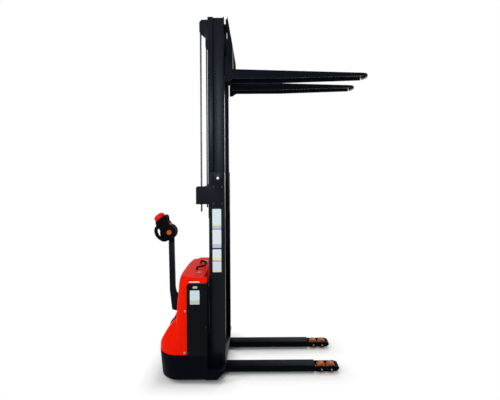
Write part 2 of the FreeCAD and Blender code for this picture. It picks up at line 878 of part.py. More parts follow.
def bowed_plan(rear_x, front_x, half_width, corner, bow, z):
    """Plan outline with a bowed rear edge between two rounded corners."""
    bend = corner * (1 - math.sqrt(0.5))
    left = [
        Vector(front_x, half_width, z),
        Vector(rear_x + corner, half_width, z),
        Vector(rear_x + bend, half_width - bend, z),
        Vector(rear_x, half_width - corner, z),
    ]
    right = [Vector(p.x, -p.y, z) for p in reversed(left)]
    return Part.Wire([
        Part.makeLine(left[0], left[1]),
        arc_edge(left[1], left[2], left[3]),
        arc_edge(left[3], Vector(rear_x - bow, 0, z), right[0]),
        arc_edge(right[0], right[1], right[2]),
        Part.makeLine(right[2], right[3]),
        Part.makeLine(right[3], left[0]),
    ])


def shoulder_prism(x0, x1, half_width, bottom, top, land, drop):
    """Length of the hood whose flat top rounds down to its upright sides."""
    inner = half_width - land
    mid_y = half_width - shoulder_round * land
    mid_z = top - shoulder_round * drop
    side = top - drop
    outline = [
        Part.makeLine(Vector(x0, -half_width, bottom), Vector(x0, half_width, bottom)),
        Part.makeLine(Vector(x0, half_width, bottom), Vector(x0, half_width, side)),
        arc_edge(Vector(x0, half_width, side), Vector(x0, mid_y, mid_z), Vector(x0, inner, top)),
        Part.makeLine(Vector(x0, inner, top), Vector(x0, -inner, top)),
        arc_edge(Vector(x0, -inner, top), Vector(x0, -mid_y, mid_z), Vector(x0, -half_width, side)),
        Part.makeLine(Vector(x0, -half_width, side), Vector(x0, -half_width, bottom)),
    ]
    return Part.Face(Part.Wire(outline)).extrude(Vector(x1 - x0, 0, 0))


def upper_housing():
    """Upper hood: bowed and leaning back, rounded brow, wide deck and narrower crown."""
    h = hood_half_width
    rise = hood_top - chassis_top
    plan = Part.Face(bowed_plan(hood_back_foot_x, hood_front_x, h, hood_corner, hood_back_bow, chassis_top))
    leaning = plan.extrude(Vector(hood_back_lean, 0, rise))
    far_x = chassis_rear_x
    brow_x = hood_back_foot_x - hood_back_bow + hood_back_lean * (rise - brow_drop) / rise
    brow_foot = hood_top - brow_drop
    side_view = [
        Part.makeLine(Vector(hood_front_x, -h, chassis_top), Vector(hood_front_x, -h, hood_top)),
        Part.makeLine(Vector(hood_front_x, -h, hood_top), Vector(brow_x + brow_reach, -h, hood_top)),
        arc_edge(Vector(brow_x + brow_reach, -h, hood_top),
                 Vector(brow_x + brow_round * brow_reach, -h, hood_top - brow_round * brow_drop),
                 Vector(brow_x, -h, brow_foot)),
        Part.makeLine(Vector(brow_x, -h, brow_foot), Vector(far_x, -h, brow_foot)),
        Part.makeLine(Vector(far_x, -h, brow_foot), Vector(far_x, -h, chassis_top)),
        Part.makeLine(Vector(far_x, -h, chassis_top), Vector(hood_front_x, -h, chassis_top)),
    ]
    body = leaning.common(Part.Face(Part.Wire(side_view)).extrude(Vector(0, 2 * h, 0)))
    deck = shoulder_prism(deck_rear_x, hood_front_x, h, chassis_top, hood_top, deck_side_land, deck_side_drop)
    crown = shoulder_prism(far_x, deck_rear_x, h, chassis_top, hood_top, crown_side_land, crown_side_drop)
    return body.common(deck).fuse(body.common(crown))


def tail_dome():
    """Tail of the hood: a dome with wide round corners over the drive unit."""
    h = hood_half_width
    inner_top = tail_crest + tail_rise
    side_view = [
        Part.makeLine(Vector(tail_front_x, -h, chassis_top), Vector(chassis_rear_x, -h, chassis_top)),
        Part.makeLine(Vector(chassis_rear_x, -h, chassis_top), Vector(chassis_rear_x, -h, tail_land_top)),
        arc_edge(Vector(chassis_rear_x, -h, tail_land_top), Vector(tail_belly_x, -h, tail_belly),
                 Vector(tail_crest_x, -h, tail_crest)),
        Part.makeLine(Vector(tail_crest_x, -h, tail_crest), Vector(tail_front_x, -h, inner_top)),
        Part.makeLine(Vector(tail_front_x, -h, inner_top), Vector(tail_front_x, -h, chassis_top)),
    ]
    dome = Part.Face(Part.Wire(side_view)).extrude(Vector(0, 2 * h, 0))
    plan = Part.Face(rounded_end_wire(chassis_rear_x, tail_front_x, h, chassis_corner, chassis_top))
    dome = dome.common(plan.extrude(Vector(0, 0, inner_top)))
    x0 = chassis_rear_x
    side = chassis_top + tail_side_land
    arch = [
        Part.makeLine(Vector(x0, -h, chassis_top), Vector(x0, h, chassis_top)),
        Part.makeLine(Vector(x0, h, chassis_top), Vector(x0, h, side)),
        arc_edge(Vector(x0, h, side), Vector(x0, tail_arch_y, tail_arch),
                 Vector(x0, valley_half_width, inner_top)),
        Part.makeLine(Vector(x0, valley_half_width, inner_top), Vector(x0, -valley_half_width, inner_top)),
        arc_edge(Vector(x0, -valley_half_width, inner_top), Vector(x0, -tail_arch_y, tail_arch),
                 Vector(x0, -h, side)),
        Part.makeLine(Vector(x0, -h, side), Vector(x0, -h, chassis_top)),
    ]
    return dome.common(Part.Face(Part.Wire(arch)).extrude(Vector(tail_front_x - x0, 0, 0)))


def panel_blank(margin, y0, y1):
    """Plate with one rounded upper rear corner, as large as the side panel and a margin."""
    rear = panel_rear_x - margin
    top = panel_top + margin
    radius = panel_corner + margin
    bend = radius * (1 - math.sqrt(0.5))
    outline = Part.Wire([
        Part.makeLine(Vector(panel_front_x, y0, chassis_top), Vector(rear, y0, chassis_top)),
        Part.makeLine(Vector(rear, y0, chassis_top), Vector(rear, y0, top - radius)),
        arc_edge(Vector(rear, y0, top - radius), Vector(rear + bend, y0, top - bend),
                 Vector(rear + radius, y0, top)),
        Part.makeLine(Vector(rear + radius, y0, top), Vector(panel_front_x, y0, top)),
        Part.makeLine(Vector(panel_front_x, y0, top), Vector(panel_front_x, y0, chassis_top)),
    ])
    return Part.Face(outline).extrude(Vector(0, y1 - y0, 0))


def hood():
    """Moulded hood with the valley for the tiller, the bay for the mast and the recesses for the panels."""
    body = upper_housing().fuse(tail_dome())
    face_step = box(hood_front_x - hood_face_step, hood_front_x + 1, -hood_half_width, hood_half_width,
                    chassis_top - 1, panel_top + panel_gap)
    body = body.cut(face_step)
    body = body.cut(box(bay_rear_x, hood_front_x + 1, -bay_half_width, bay_half_width,
                        chassis_top - 1, hood_top + 1))
    rear = chassis_rear_x - 1
    valley = box(rear, valley_front_x, -valley_half_width, valley_half_width, chassis_top - 1, valley_top)
    pocket = box(rear, steer_x + cap_radius + cap_clearance, -valley_half_width, valley_half_width,
                 chassis_top - 1, cap_base + cap_height + cap_clearance)
    body = body.cut(valley).cut(pocket)
    front = bay_rear_x - battery_front_gap + battery_gap
    cavity = box(front - battery_length - 2 * battery_gap, front,
                 -battery_width / 2 - battery_gap, battery_width / 2 + battery_gap,
                 chassis_top - 1, chassis_top + battery_height + battery_gap)
    recess = panel_blank(panel_gap, panel_inner_y - panel_gap, hood_half_width + 1)
    return body.cut(cavity).cut(recess).cut(mirrored(recess)).removeSplitter()


def grab_bar():
    """Bar on the hood, bent to a C in plan, with its two ends let down onto the deck."""
    z = hood_top + grab_rise
    y = grab_half_width
    back = grab_x - grab_depth
    route = [
        Vector(back, -y, hood_top),
        Vector(back, -y, z),
        Vector(grab_x, -y * grab_waist, z),
        Vector(grab_x, y * grab_waist, z),
        Vector(back, y, z),
        Vector(back, y, hood_top),
    ]
    return bent_tube(route, grab_tube)


def battery():
    """Traction battery as one plain block."""
    front = bay_rear_x - battery_front_gap
    return box(front - battery_length, front, -battery_width / 2, battery_width / 2,
               chassis_top, chassis_top + battery_height)


def side_panel():
    """Left cover, let into the hood, with a flange turned in beside the mast."""
    cover = panel_blank(0, panel_inner_y, panel_inner_y + panel_thickness)
    flange = box(panel_front_x - panel_flange, panel_front_x, mast_half_width + panel_flange_gap,
                 panel_inner_y + panel_thickness, chassis_top, panel_top)
    # Below the lower beam the flange goes on behind the rail
    lip = box(panel_front_x - panel_flange, panel_front_x, mast_half_width - panel_lip_reach,
              panel_inner_y + panel_thickness, chassis_top, lower_beam_bottom - panel_lip_gap)
    return joined([cover, flange, lip])


def drive_unit():
    """Gearbox legs astride the drive wheel, with the turret neck above them."""
    half = drive_wheel_width / 2 + gearbox_gap
    top = 2 * drive_wheel_radius + gearbox_gap
    x0 = steer_x - gearbox_length / 2
    x1 = steer_x + gearbox_length / 2
    side_box = box(x0, x1, half, half + gearbox_width / 2, gearbox_bottom, top)
    crown = rod_z(steer_x, 0, turret_neck_radius, top, cap_base)
    axle = rod_y(steer_x, drive_axle_z, drive_axle_radius, -half, half)
    return joined([side_box, mirrored(side_box), crown, axle])


def turret_cap():
    """Domed cap that turns with the drive unit."""
    top = cap_base + cap_height
    edges = [
        Part.makeLine(Vector(0, 0, cap_base), Vector(cap_radius, 0, cap_base)),
        Part.makeLine(Vector(cap_radius, 0, cap_base), Vector(cap_radius, 0, cap_base + cap_skirt)),
        arc_edge(Vector(cap_radius, 0, cap_base + cap_skirt), Vector(cap_shoulder_radius, 0, top - cap_shoulder_drop),
                 Vector(cap_crown_radius, 0, top)),
        Part.makeLine(Vector(cap_crown_radius, 0, top), Vector(0, 0, top)),
        Part.makeLine(Vector(0, 0, top), Vector(0, 0, cap_base)),
    ]
    cap = Part.Face(Part.Wire(edges)).revolve(Vector(0, 0, 0), Vector(0, 0, 1), 360)
    cap.translate(Vector(steer_x, 0, 0))
    return cap


def tiller_yoke():
    """Two cheeks on the cap that hold the tiller's pivot pin."""
    half = arm_width / 2 + yoke_gap
    base = cap_base + cap_height
    outline = [
        (steer_x - yoke_length / 2, base),
        (steer_x + yoke_length / 2, base),
        (steer_x + yoke_length / 3, pivot_height + yoke_above_pin),
        (steer_x - yoke_length / 3, pivot_height + yoke_above_pin),
    ]
    cheek = side_prism(outline, half, half + yoke_cheek)
    pin = rod_y(steer_x, pivot_height, pivot_radius, -half, half)
    return joined([cheek, mirrored(cheek), pin])


def tiller_arm():
    """Bent arm with a round foot on the pivot pin."""
    half = arm_width / 2
    d = arm_depth / 2
    knee_x = steer_x - arm_knee_back
    knee_z = pivot_height + arm_knee_height
    top_x = steer_x - arm_top_back
    top_z = pivot_height + arm_top_height
    outline = [
        (steer_x - arm_boot_back, pivot_height - arm_boot_drop),
        (steer_x - arm_toe_back, pivot_height - arm_toe_drop),
        (steer_x + foot_radius / 2, pivot_height + foot_radius * foot_brow),
        (knee_x + d + arm_knee_nose, knee_z - arm_knee_slope / 2),
        (knee_x + d, knee_z + arm_knee_slope),
        (top_x + d, top_z),
        (top_x - d, top_z),
        (knee_x - d, knee_z + arm_knee_nose),
    ]
    stem = side_prism(outline, -half, half)
    foot = rod_y(steer_x, pivot_height, foot_radius, -half, half)
    bore = rod_y(steer_x, pivot_height, pivot_radius + pivot_fit, -half - 1, half + 1)
    return joined([stem, foot]).cut(bore)


def bent_tube(route, radius):
    """Round bar along straight runs joined by tangent bends."""
    pieces = []
    last = route[0]
    for before, corner, after in zip(route, route[1:], route[2:]):
        inward = before - corner
        outward = after - corner
        reach = bar_bend * min(inward.Length, outward.Length)
        inward.normalize()
        outward.normalize()
        start = corner + inward * reach
        half_angle = inward.getAngle(outward) / 2
        middle = inward + outward
        middle.normalize()
        centre = corner + middle * (reach / math.cos(half_angle))
        hinge_line = outward.cross(inward)
        hinge_line.normalize()
        pieces.append(Part.makeCylinder(radius, (start - last).Length, last, start - last))
        disc = Part.Face(Part.Wire([Part.makeCircle(radius, start, inward)]))
        pieces.append(disc.revolve(centre, hinge_line, 180 - 2 * math.degrees(half_angle)))
        last = corner + outward * reach
    pieces.append(Part.makeCylinder(radius, (route[-1] - last).Length, last, route[-1] - last))
    return joined(pieces)


def tiller_head():
    """Head with its round belly, raked crown and loop grips."""
    outline = [(belly_x + forward, belly_z + rise) for forward, rise in crown_outline]
    crown = side_prism(outline, -crown_width / 2, crown_width / 2)
    crown = crown.makeFillet(crown_round, [e for e in crown.Edges if abs(e.BoundBox.YLength) < 1e-6])
    belly = rod_y(belly_x, belly_z, belly_radius, -belly_width / 2, belly_width / 2)
    belly = belly.makeFillet(belly_round, [e for e in belly.Edges if abs(e.BoundBox.YLength) < 1e-6])
    neck_x = steer_x - arm_top_back
    neck_z = pivot_height + arm_top_height
    neck = box(neck_x - arm_depth / 2, neck_x + arm_depth / 2, -arm_width / 2, arm_width / 2, neck_z, belly_z)
    web = side_prism([(belly_x + forward, belly_z + rise) for forward, rise in web_outline],
                     -web_thickness / 2, web_thickness / 2)
    whole = belly.fuse(crown).fuse(neck).fuse(web)
    for side in (1, -1):
        route = [Vector(belly_x + forward, side * y, belly_z + rise) for forward, rise, y in grip_route]
        whole = whole.fuse(bent_tube(route, grip_tube))
    return whole.removeSplitter()


def belly_button():
    """Safety button, a dome on the slanting top of the crown."""
    run = crown_slant_front[0] - crown_slant_rear[0]
    climb = crown_slant_front[1] - crown_slant_rear[1]
    share = button_along / math.hypot(run, climb)
    seat_x = belly_x + crown_slant_rear[0] + share * run
    seat_z = belly_z + crown_slant_rear[1] + share * climb
    r = button_radius
    base = button_gap
    rim = base + button_wall
    crest = base + button_height
    land = button_crest_radius
    bulge = math.sqrt(0.5)
    middle = Vector(land + (r - land) * bulge, 0, rim + (crest - rim) * bulge)
    edges = [
        Part.makeLine(Vector(0, 0, base), Vector(r, 0, base)),
        Part.makeLine(Vector(r, 0, base), Vector(r, 0, rim)),
        arc_edge(Vector(r, 0, rim), middle, Vector(land, 0, crest)),
        Part.makeLine(Vector(land, 0, crest), Vector(0, 0, crest)),
        Part.makeLine(Vector(0, 0, crest), Vector(0, 0, base)),
    ]
    dome = Part.Face(Part.Wire(edges)).revolve(Vector(0, 0, 0), Vector(0, 0, 1), 360)
    dome.rotate(Vector(0, 0, 0), Vector(0, 1, 0), -math.degrees(math.atan2(climb, run)))
    dome.translate(Vector(seat_x, 0, seat_z))
    return dome


def thumb_knobs():
    """Round drive knobs on both sides of the head."""
    half = belly_width / 2
    left = rod_y(belly_x + knob_forward, belly_z + knob_rise, knob_radius, half, half + knob_width)
    return Part.makeCompound([left, mirrored(left)])


def wheel(radius, width, core, bore, x, y, z):
    """Solid tyred wheel with a recessed hub on both faces."""
    half = width / 2
    rim = tyre_edge
    dish = wheel_dish
    hub = bore + wheel_hub_wall
    profile = [
        Vector(bore, -half, 0),
        Vector(hub, -half, 0),
        Vector(hub, -half + dish, 0),
        Vector(core, -half + dish, 0),
        Vector(core, -half, 0),
        Vector(radius - rim, -half, 0),
        Vector(radius, -half + rim, 0),
        Vector(radius, half - rim, 0),
        Vector(radius - rim, half, 0),
        Vector(core, half, 0),
        Vector(core, half - dish, 0),
        Vector(hub, half - dish, 0),
        Vector(hub, half, 0),
        Vector(bore, half, 0),
    ]
    face = Part.Face(Part.makePolygon(profile + profile[:1]))
    solid = face.revolve(Vector(0, 0, 0), Vector(0, 1, 0), 360)
    solid.translate(Vector(x, y, z))
    return solid


def castor_fork():
    """Left stabiliser fork that swivels under the deck."""
    half = castor_wheel_width / 2 + castor_cheek_gap
    wheel_x = castor_x - castor_trail
    top = castor_top
    crown = rod_z(castor_x, castor_y, castor_plate_radius, top, top + castor_plate)
    stem = rod_z(castor_x, castor_y, castor_stem_radius, top + castor_plate,
                 chassis_top - 2 * chassis_deck - 1)
    pieces = [crown, stem]
    for side in (1, -1):
        low, high = sorted((castor_y + side * half, castor_y + side * (half + castor_cheek)))
        pieces.append(side_prism([
            (wheel_x - castor_cheek_foot, castor_wheel_radius - castor_cheek_foot),
            (wheel_x + castor_cheek_foot, castor_wheel_radius - castor_cheek_foot),
            (castor_x + castor_cheek_front, top),
            (castor_x + castor_cheek_front, top + castor_plate),
            (castor_x - castor_cheek_rear, top + castor_plate),
            (castor_x - castor_cheek_rear, top),
            (wheel_x - castor_cheek_foot, castor_wheel_radius + castor_cheek_foot),
        ], low, high))
    pieces.append(rod_y(wheel_x, castor_wheel_radius, castor_axle_radius, castor_y - half, castor_y + half))
    return joined(pieces)


def export(name, shape):
    """Writes one node."""
    shape.exportStep("parts/" + name + ".step")
    print(name, len(shape.Solids), round(shape.Volume / 1000.0, 1))


os.makedirs("parts", exist_ok=True)

# Pieces that stand in the middle of the truck
centre_pieces = {
    "base_tub": base_tub,
    "outer_mast_cross_members": outer_cross_members,
    "outer_mast_rollers": outer_guides,
    "inner_mast_cross_members": inner_cross_members,
    "inner_mast_rollers": inner_guides,
    "carriage_frame": carriage_frame,
    "carriage_rollers": carriage_guides,
    "hood": hood,
    "grab_bar": grab_bar,
    "battery": battery,
    "drive_unit": drive_unit,
    "turret_cap": turret_cap,
    "tiller_yoke": tiller_yoke,
    "tiller_arm": tiller_arm,
    "tiller_head": tiller_head,
    "belly_button": belly_button,
    "thumb_knobs": thumb_knobs,
}
for node, maker in centre_pieces.items():
    export(node, maker())

# Pieces that come in a left and a right copy
paired_pieces = {
    "leg": leg,
    "load_axles": load_axles,
    "outer_rail": outer_rail,
    "mast_side_plate": side_plate,
    "lift_cylinder": lift_cylinder,
    "lift_rod": lift_rod,
    "inner_rail": inner_rail,
    "chain_pulley": chain_pulley,
    "rear_chain": rear_chain,
    "chain_anchor": chain_anchor,
    "front_chain": front_chain,
    "fork": fork,
    "side_panel": side_panel,
    "castor_fork": castor_fork,
}
for node, maker in paired_pieces.items():
    piece = maker()
    export(node + "_left", piece)
    export(node + "_right", mirrored(piece))

# Rolling pieces
export("drive_wheel", wheel(drive_wheel_radius, drive_wheel_width, drive_core_radius,
                            drive_axle_radius + rod_fit, steer_x, 0, drive_axle_z))
castor_wheel = wheel(castor_wheel_radius, castor_wheel_width, castor_core_radius,
                     castor_axle_radius + rod_fit, castor_x - castor_trail, castor_y, castor_wheel_radius)
export("castor_wheel_left", castor_wheel)
export("castor_wheel_right", mirrored(castor_wheel))
for place, x in (("rear", load_roller_rear_x), ("front", load_roller_front_x)):
    roller = load_roller(x)
    export("load_roller_left_" + place, roller)
    export("load_roller_right_" + place, mirrored(roller))
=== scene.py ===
import bpy
import json
import math
from mathutils import Matrix, Vector

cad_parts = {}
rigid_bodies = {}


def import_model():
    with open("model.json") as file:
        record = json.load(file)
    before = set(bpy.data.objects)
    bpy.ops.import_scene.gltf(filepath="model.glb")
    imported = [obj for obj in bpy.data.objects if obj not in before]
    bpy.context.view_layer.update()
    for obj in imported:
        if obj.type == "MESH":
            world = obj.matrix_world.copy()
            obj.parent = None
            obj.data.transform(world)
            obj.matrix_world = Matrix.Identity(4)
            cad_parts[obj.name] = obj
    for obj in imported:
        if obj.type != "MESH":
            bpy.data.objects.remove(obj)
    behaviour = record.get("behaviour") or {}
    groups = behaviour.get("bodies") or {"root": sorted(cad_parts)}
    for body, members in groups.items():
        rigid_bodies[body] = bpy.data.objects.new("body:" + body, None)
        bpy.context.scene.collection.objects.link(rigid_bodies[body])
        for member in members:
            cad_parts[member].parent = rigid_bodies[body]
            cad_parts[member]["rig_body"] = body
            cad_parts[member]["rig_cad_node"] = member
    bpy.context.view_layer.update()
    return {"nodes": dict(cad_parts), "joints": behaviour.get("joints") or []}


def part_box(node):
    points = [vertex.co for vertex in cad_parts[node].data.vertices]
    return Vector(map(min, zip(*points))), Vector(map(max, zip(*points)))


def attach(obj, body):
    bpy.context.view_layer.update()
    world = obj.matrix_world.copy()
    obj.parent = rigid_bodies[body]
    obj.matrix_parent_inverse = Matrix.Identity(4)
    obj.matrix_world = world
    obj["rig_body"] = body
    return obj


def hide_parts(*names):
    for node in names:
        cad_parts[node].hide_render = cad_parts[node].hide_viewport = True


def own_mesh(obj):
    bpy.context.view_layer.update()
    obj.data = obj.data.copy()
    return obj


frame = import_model()
nodes = frame["nodes"]
print("frame loaded:", len(nodes), "nodes")


# Small helpers

def linearColour(hexText):
    # sRGB hex to the linear numbers that the shaders take
    channels = [int(hexText[i:i + 2], 16) / 255 for i in (1, 3, 5)]
    linear = [c / 12.92 if c <= 0.04045 else ((c + 0.055) / 1.055) ** 2.4 for c in channels]
    return (*linear, 1.0)


def addNode(tree, kind, settings=None, values=None, links=None):
    node = tree.nodes.new("ShaderNode" + kind)
    for name, value in (settings or {}).items():
        setattr(node, name, value)
    for name, value in (values or {}).items():
        node.inputs[name].default_value = value
    for name, socket in (links or {}).items():
        tree.links.new(socket, node.inputs[name])
    return node


def startMaterial(name, shaderValues):
    # An empty material with its shader; returns the tree, the shader and the piece's own coordinates
    material = bpy.data.materials.new(name)
    material.use_nodes = True
    tree = material.node_tree
    tree.nodes.clear()
    shader = addNode(tree, "BsdfPrincipled", values=shaderValues)
    addNode(tree, "OutputMaterial", links={"Surface": shader.outputs["BSDF"]})
    place = addNode(tree, "TexCoord").outputs["Object"]
    return material, tree, shader, place


def onlySelect(piece):
    bpy.ops.object.select_all(action="DESELECT")
    piece.select_set(True)
    bpy.context.view_layer.objects.active = piece


def applyModifiers(piece):
    onlySelect(piece)
    for modifier in list(piece.modifiers):
        bpy.ops.object.modifier_apply(modifier=modifier.name)


def settle(piece, name, body, finish):
    # Names a finished piece, brings its place into its mesh and lets it ride
    piece.name = name
    piece.data.name = name
    onlySelect(piece)
    bpy.ops.object.transform_apply(location=True, rotation=True, scale=True)
    if finish is not None:
        piece.data.materials.clear()
        piece.data.materials.append(finish)
    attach(piece, body)
    return piece


# Materials

coldSheen = (0.7, 0.82, 1.0, 1.0)    # black coats show a slightly blue shine


def powderCoat(name, look):
    # Polyester powder on steel: even satin colour, clouds of slightly other tone, a faint orange peel
    material, tree, shader, place = startMaterial(name, {
        "Roughness": look["roughness"], "Specular IOR Level": look["specular"], "Specular Tint": coldSheen})
    drawn = addNode(tree, "Mapping", values={"Scale": look["stretch"]}, links={"Vector": place})
    clouds = addNode(tree, "TexNoise", links={"Vector": drawn.outputs["Vector"]},
                     values={"Scale": 1 / look["cloudSize"], "Detail": 3.0, "Roughness": 0.6})
    tone = addNode(tree, "Mix", settings={"data_type": "RGBA"},
                   values={6: linearColour(look["dark"]), 7: linearColour(look["light"])},
                   links={0: clouds.outputs["Fac"]})
    tree.links.new(tone.outputs[2], shader.inputs["Base Color"])
    gloss = addNode(tree, "MapRange",
                    values={"To Min": look["roughness"] - 0.06, "To Max": look["roughness"] + 0.08},
                    links={"Value": clouds.outputs["Fac"]})
    tree.links.new(gloss.outputs["Result"], shader.inputs["Roughness"])
    # Orange peel is under 1 mm on the real coat and drawn at 5 mm so that it shows
    peel = addNode(tree, "TexNoise", values={"Scale": 1 / 0.005, "Detail": 2.0}, links={"Vector": place})
    bump = addNode(tree, "Bump", values={"Strength": look["peel"], "Distance": 0.0006},
                   links={"Height": peel.outputs["Fac"]})
    tree.links.new(bump.outputs["Normal"], shader.inputs["Normal"])
    return material


def wearAndHighlightEdge(name, look):
    # The same coat along the edges: duller, with small chips down to the steel where hands and pallets rub
    # it, and a lighter tone that is partly rubbed paint and partly a painted highlight on every edge
    material, tree, shader, place = startMaterial(name, {
        "Roughness": look["roughness"], "Specular IOR Level": look["specular"]})
    chips = addNode(tree, "TexNoise", values={"Scale": 1 / look["chipSize"], "Detail": 5.0, "Roughness": 0.7},
                    links={"Vector": place})
    chipLevel = look["chipLevel"]
    bare = addNode(tree, "MapRange", values={"From Min": chipLevel, "From Max": chipLevel + 0.05},
                   links={"Value": chips.outputs["Fac"]})
    tone = addNode(tree, "Mix", settings={"data_type": "RGBA"},
                   values={6: linearColour(look["wearAndHighlightTone"]), 7: linearColour(look["steel"])},
                   links={0: bare.outputs["Result"]})
    tree.links.new(tone.outputs[2], shader.inputs["Base Color"])
    return material


def mouldedPlastic(name, look):
    # Injection moulded cover: even colour, soft gloss, a low waviness and a fine grain
    material, tree, shader, place = startMaterial(name, {
        "Roughness": look["roughness"], "Specular IOR Level": look["specular"]})
    clouds = addNode(tree, "TexNoise", values={"Scale": 1 / look["cloudSize"], "Detail": 2.0},
                     links={"Vector": place})
    tone = addNode(tree, "Mix", settings={"data_type": "RGBA"},
                   values={6: linearColour(look["dark"]), 7: linearColour(look["light"])},
                   links={0: clouds.outputs["Fac"]})
    tree.links.new(tone.outputs[2], shader.inputs["Base Color"])
    gloss = addNode(tree, "MapRange",
                    values={"To Min": look["roughness"] - 0.05, "To Max": look["roughness"] + 0.06},
                    links={"Value": clouds.outputs["Fac"]})
    tree.links.new(gloss.outputs["Result"], shader.inputs["Roughness"])
    grain = addNode(tree, "TexNoise", values={"Scale": 1 / look["grainSize"], "Detail": 3.0},
                    links={"Vector": place})
    bump = addNode(tree, "Bump", values={"Strength": look["grain"], "Distance": 0.0005},
                   links={"Height": grain.outputs["Fac"]})
    tree.links.new(bump.outputs["Normal"], shader.inputs["Normal"])
    return material


def workedMetal(name, look):
    # Turned, ground or cast metal: its own colour, fine tool lines round or along the piece, patches of oil
    material, tree, shader, place = startMaterial(name, {"Roughness": look["roughness"], "Metallic": 1.0})
    drawn = addNode(tree, "Mapping", values={"Scale": look["stretch"]}, links={"Vector": place})
    lines = addNode(tree, "TexNoise", values={"Scale": 1 / look["lineSize"], "Detail": 4.0},
                    links={"Vector": drawn.outputs["Vector"]})
    oil = addNode(tree, "TexNoise", values={"Scale": 1 / look["oilSize"], "Detail": 2.0},
                  links={"Vector": place})
    tone = addNode(tree, "Mix", settings={"data_type": "RGBA"},
                   values={6: linearColour(look["dark"]), 7: linearColour(look["light"])},
                   links={0: oil.outputs["Fac"]})
    tree.links.new(tone.outputs[2], shader.inputs["Base Color"])
    gloss = addNode(tree, "MapRange",
                    values={"To Min": look["roughness"] * 0.8, "To Max": look["roughness"] * 1.25},
                    links={"Value": lines.outputs["Fac"]})
    tree.links.new(gloss.outputs["Result"], shader.inputs["Roughness"])
    bump = addNode(tree, "Bump", values={"Strength": look["lineDepth"], "Distance": 0.0002},
                   links={"Height": lines.outputs["Fac"]})
    tree.links.new(bump.outputs["Normal"], shader.inputs["Normal"])
    return material


def castPolymer(name, look):
    # Cast polyurethane or rubber: deep satin colour, scuffs round the tread, dust in the pores
    material, tree, shader, place = startMaterial(name, {
        "Roughness": look["roughness"], "Specular IOR Level": look["specular"],
        "Subsurface Weight": look["depth"], "Subsurface Radius": (0.006, 0.003, 0.002),
        "Subsurface Scale": 1.0})
    scuffs = addNode(tree, "TexNoise", links={"Vector": place},
                     values={"Scale": 1 / look["scuffSize"], "Detail": 6.0, "Roughness": 0.65})
    level = addNode(tree, "MapRange", values={"From Min": 0.45, "From Max": 0.7},
                    links={"Value": scuffs.outputs["Fac"]})
    tone = addNode(tree, "Mix", settings={"data_type": "RGBA"},
                   values={6: linearColour(look["clean"]), 7: linearColour(look["scuffed"])},
                   links={0: level.outputs["Result"]})
    tree.links.new(tone.outputs[2], shader.inputs["Base Color"])
    bump = addNode(tree, "Bump", values={"Strength": 0.25, "Distance": 0.0005},
                   links={"Height": scuffs.outputs["Fac"]})
    tree.links.new(bump.outputs["Normal"], shader.inputs["Normal"])
    return material


def bandedVinyl(name, look):
    # Printed vinyl film: flat pale bands one above the other, slightly glossy, with soft dirt
    material, tree, shader, place = startMaterial(name, {"Roughness": 0.35, "Specular IOR Level": 0.3})
    height = addNode(tree, "SeparateXYZ", links={"Vector": place}).outputs["Z"]
    share = addNode(tree, "MapRange", values={"From Min": look["bottom"], "From Max": look["top"]},
                    links={"Value": height})
    bands = addNode(tree, "ValToRGB", links={"Fac": share.outputs["Result"]})
    bands.color_ramp.interpolation = "CONSTANT"
    ramp = bands.color_ramp.elements
    for i, (start, hexText) in enumerate(look["bands"]):
        stop = ramp[i] if i < 2 else ramp.new(start)
        stop.position = start
        stop.color = linearColour(hexText)
    dirt = addNode(tree, "TexNoise", values={"Scale": 1 / 0.02, "Detail": 3.0}, links={"Vector": place})
    faded = addNode(tree, "MapRange", values={"To Min": 0.9, "To Max": 1.0},
                    links={"Value": dirt.outputs["Fac"]})
    tone = addNode(tree, "Mix", settings={"data_type": "RGBA", "blend_type": "MULTIPLY"}, values={0: 1.0},
                   links={6: bands.outputs["Color"], 7: faded.outputs["Result"]})
    tree.links.new(tone.outputs[2], shader.inputs["Base Color"])
    return material


plain = (1.0, 1.0, 1.0)
upright = (1.0, 1.0, 0.06)    # draws a pattern out along Z

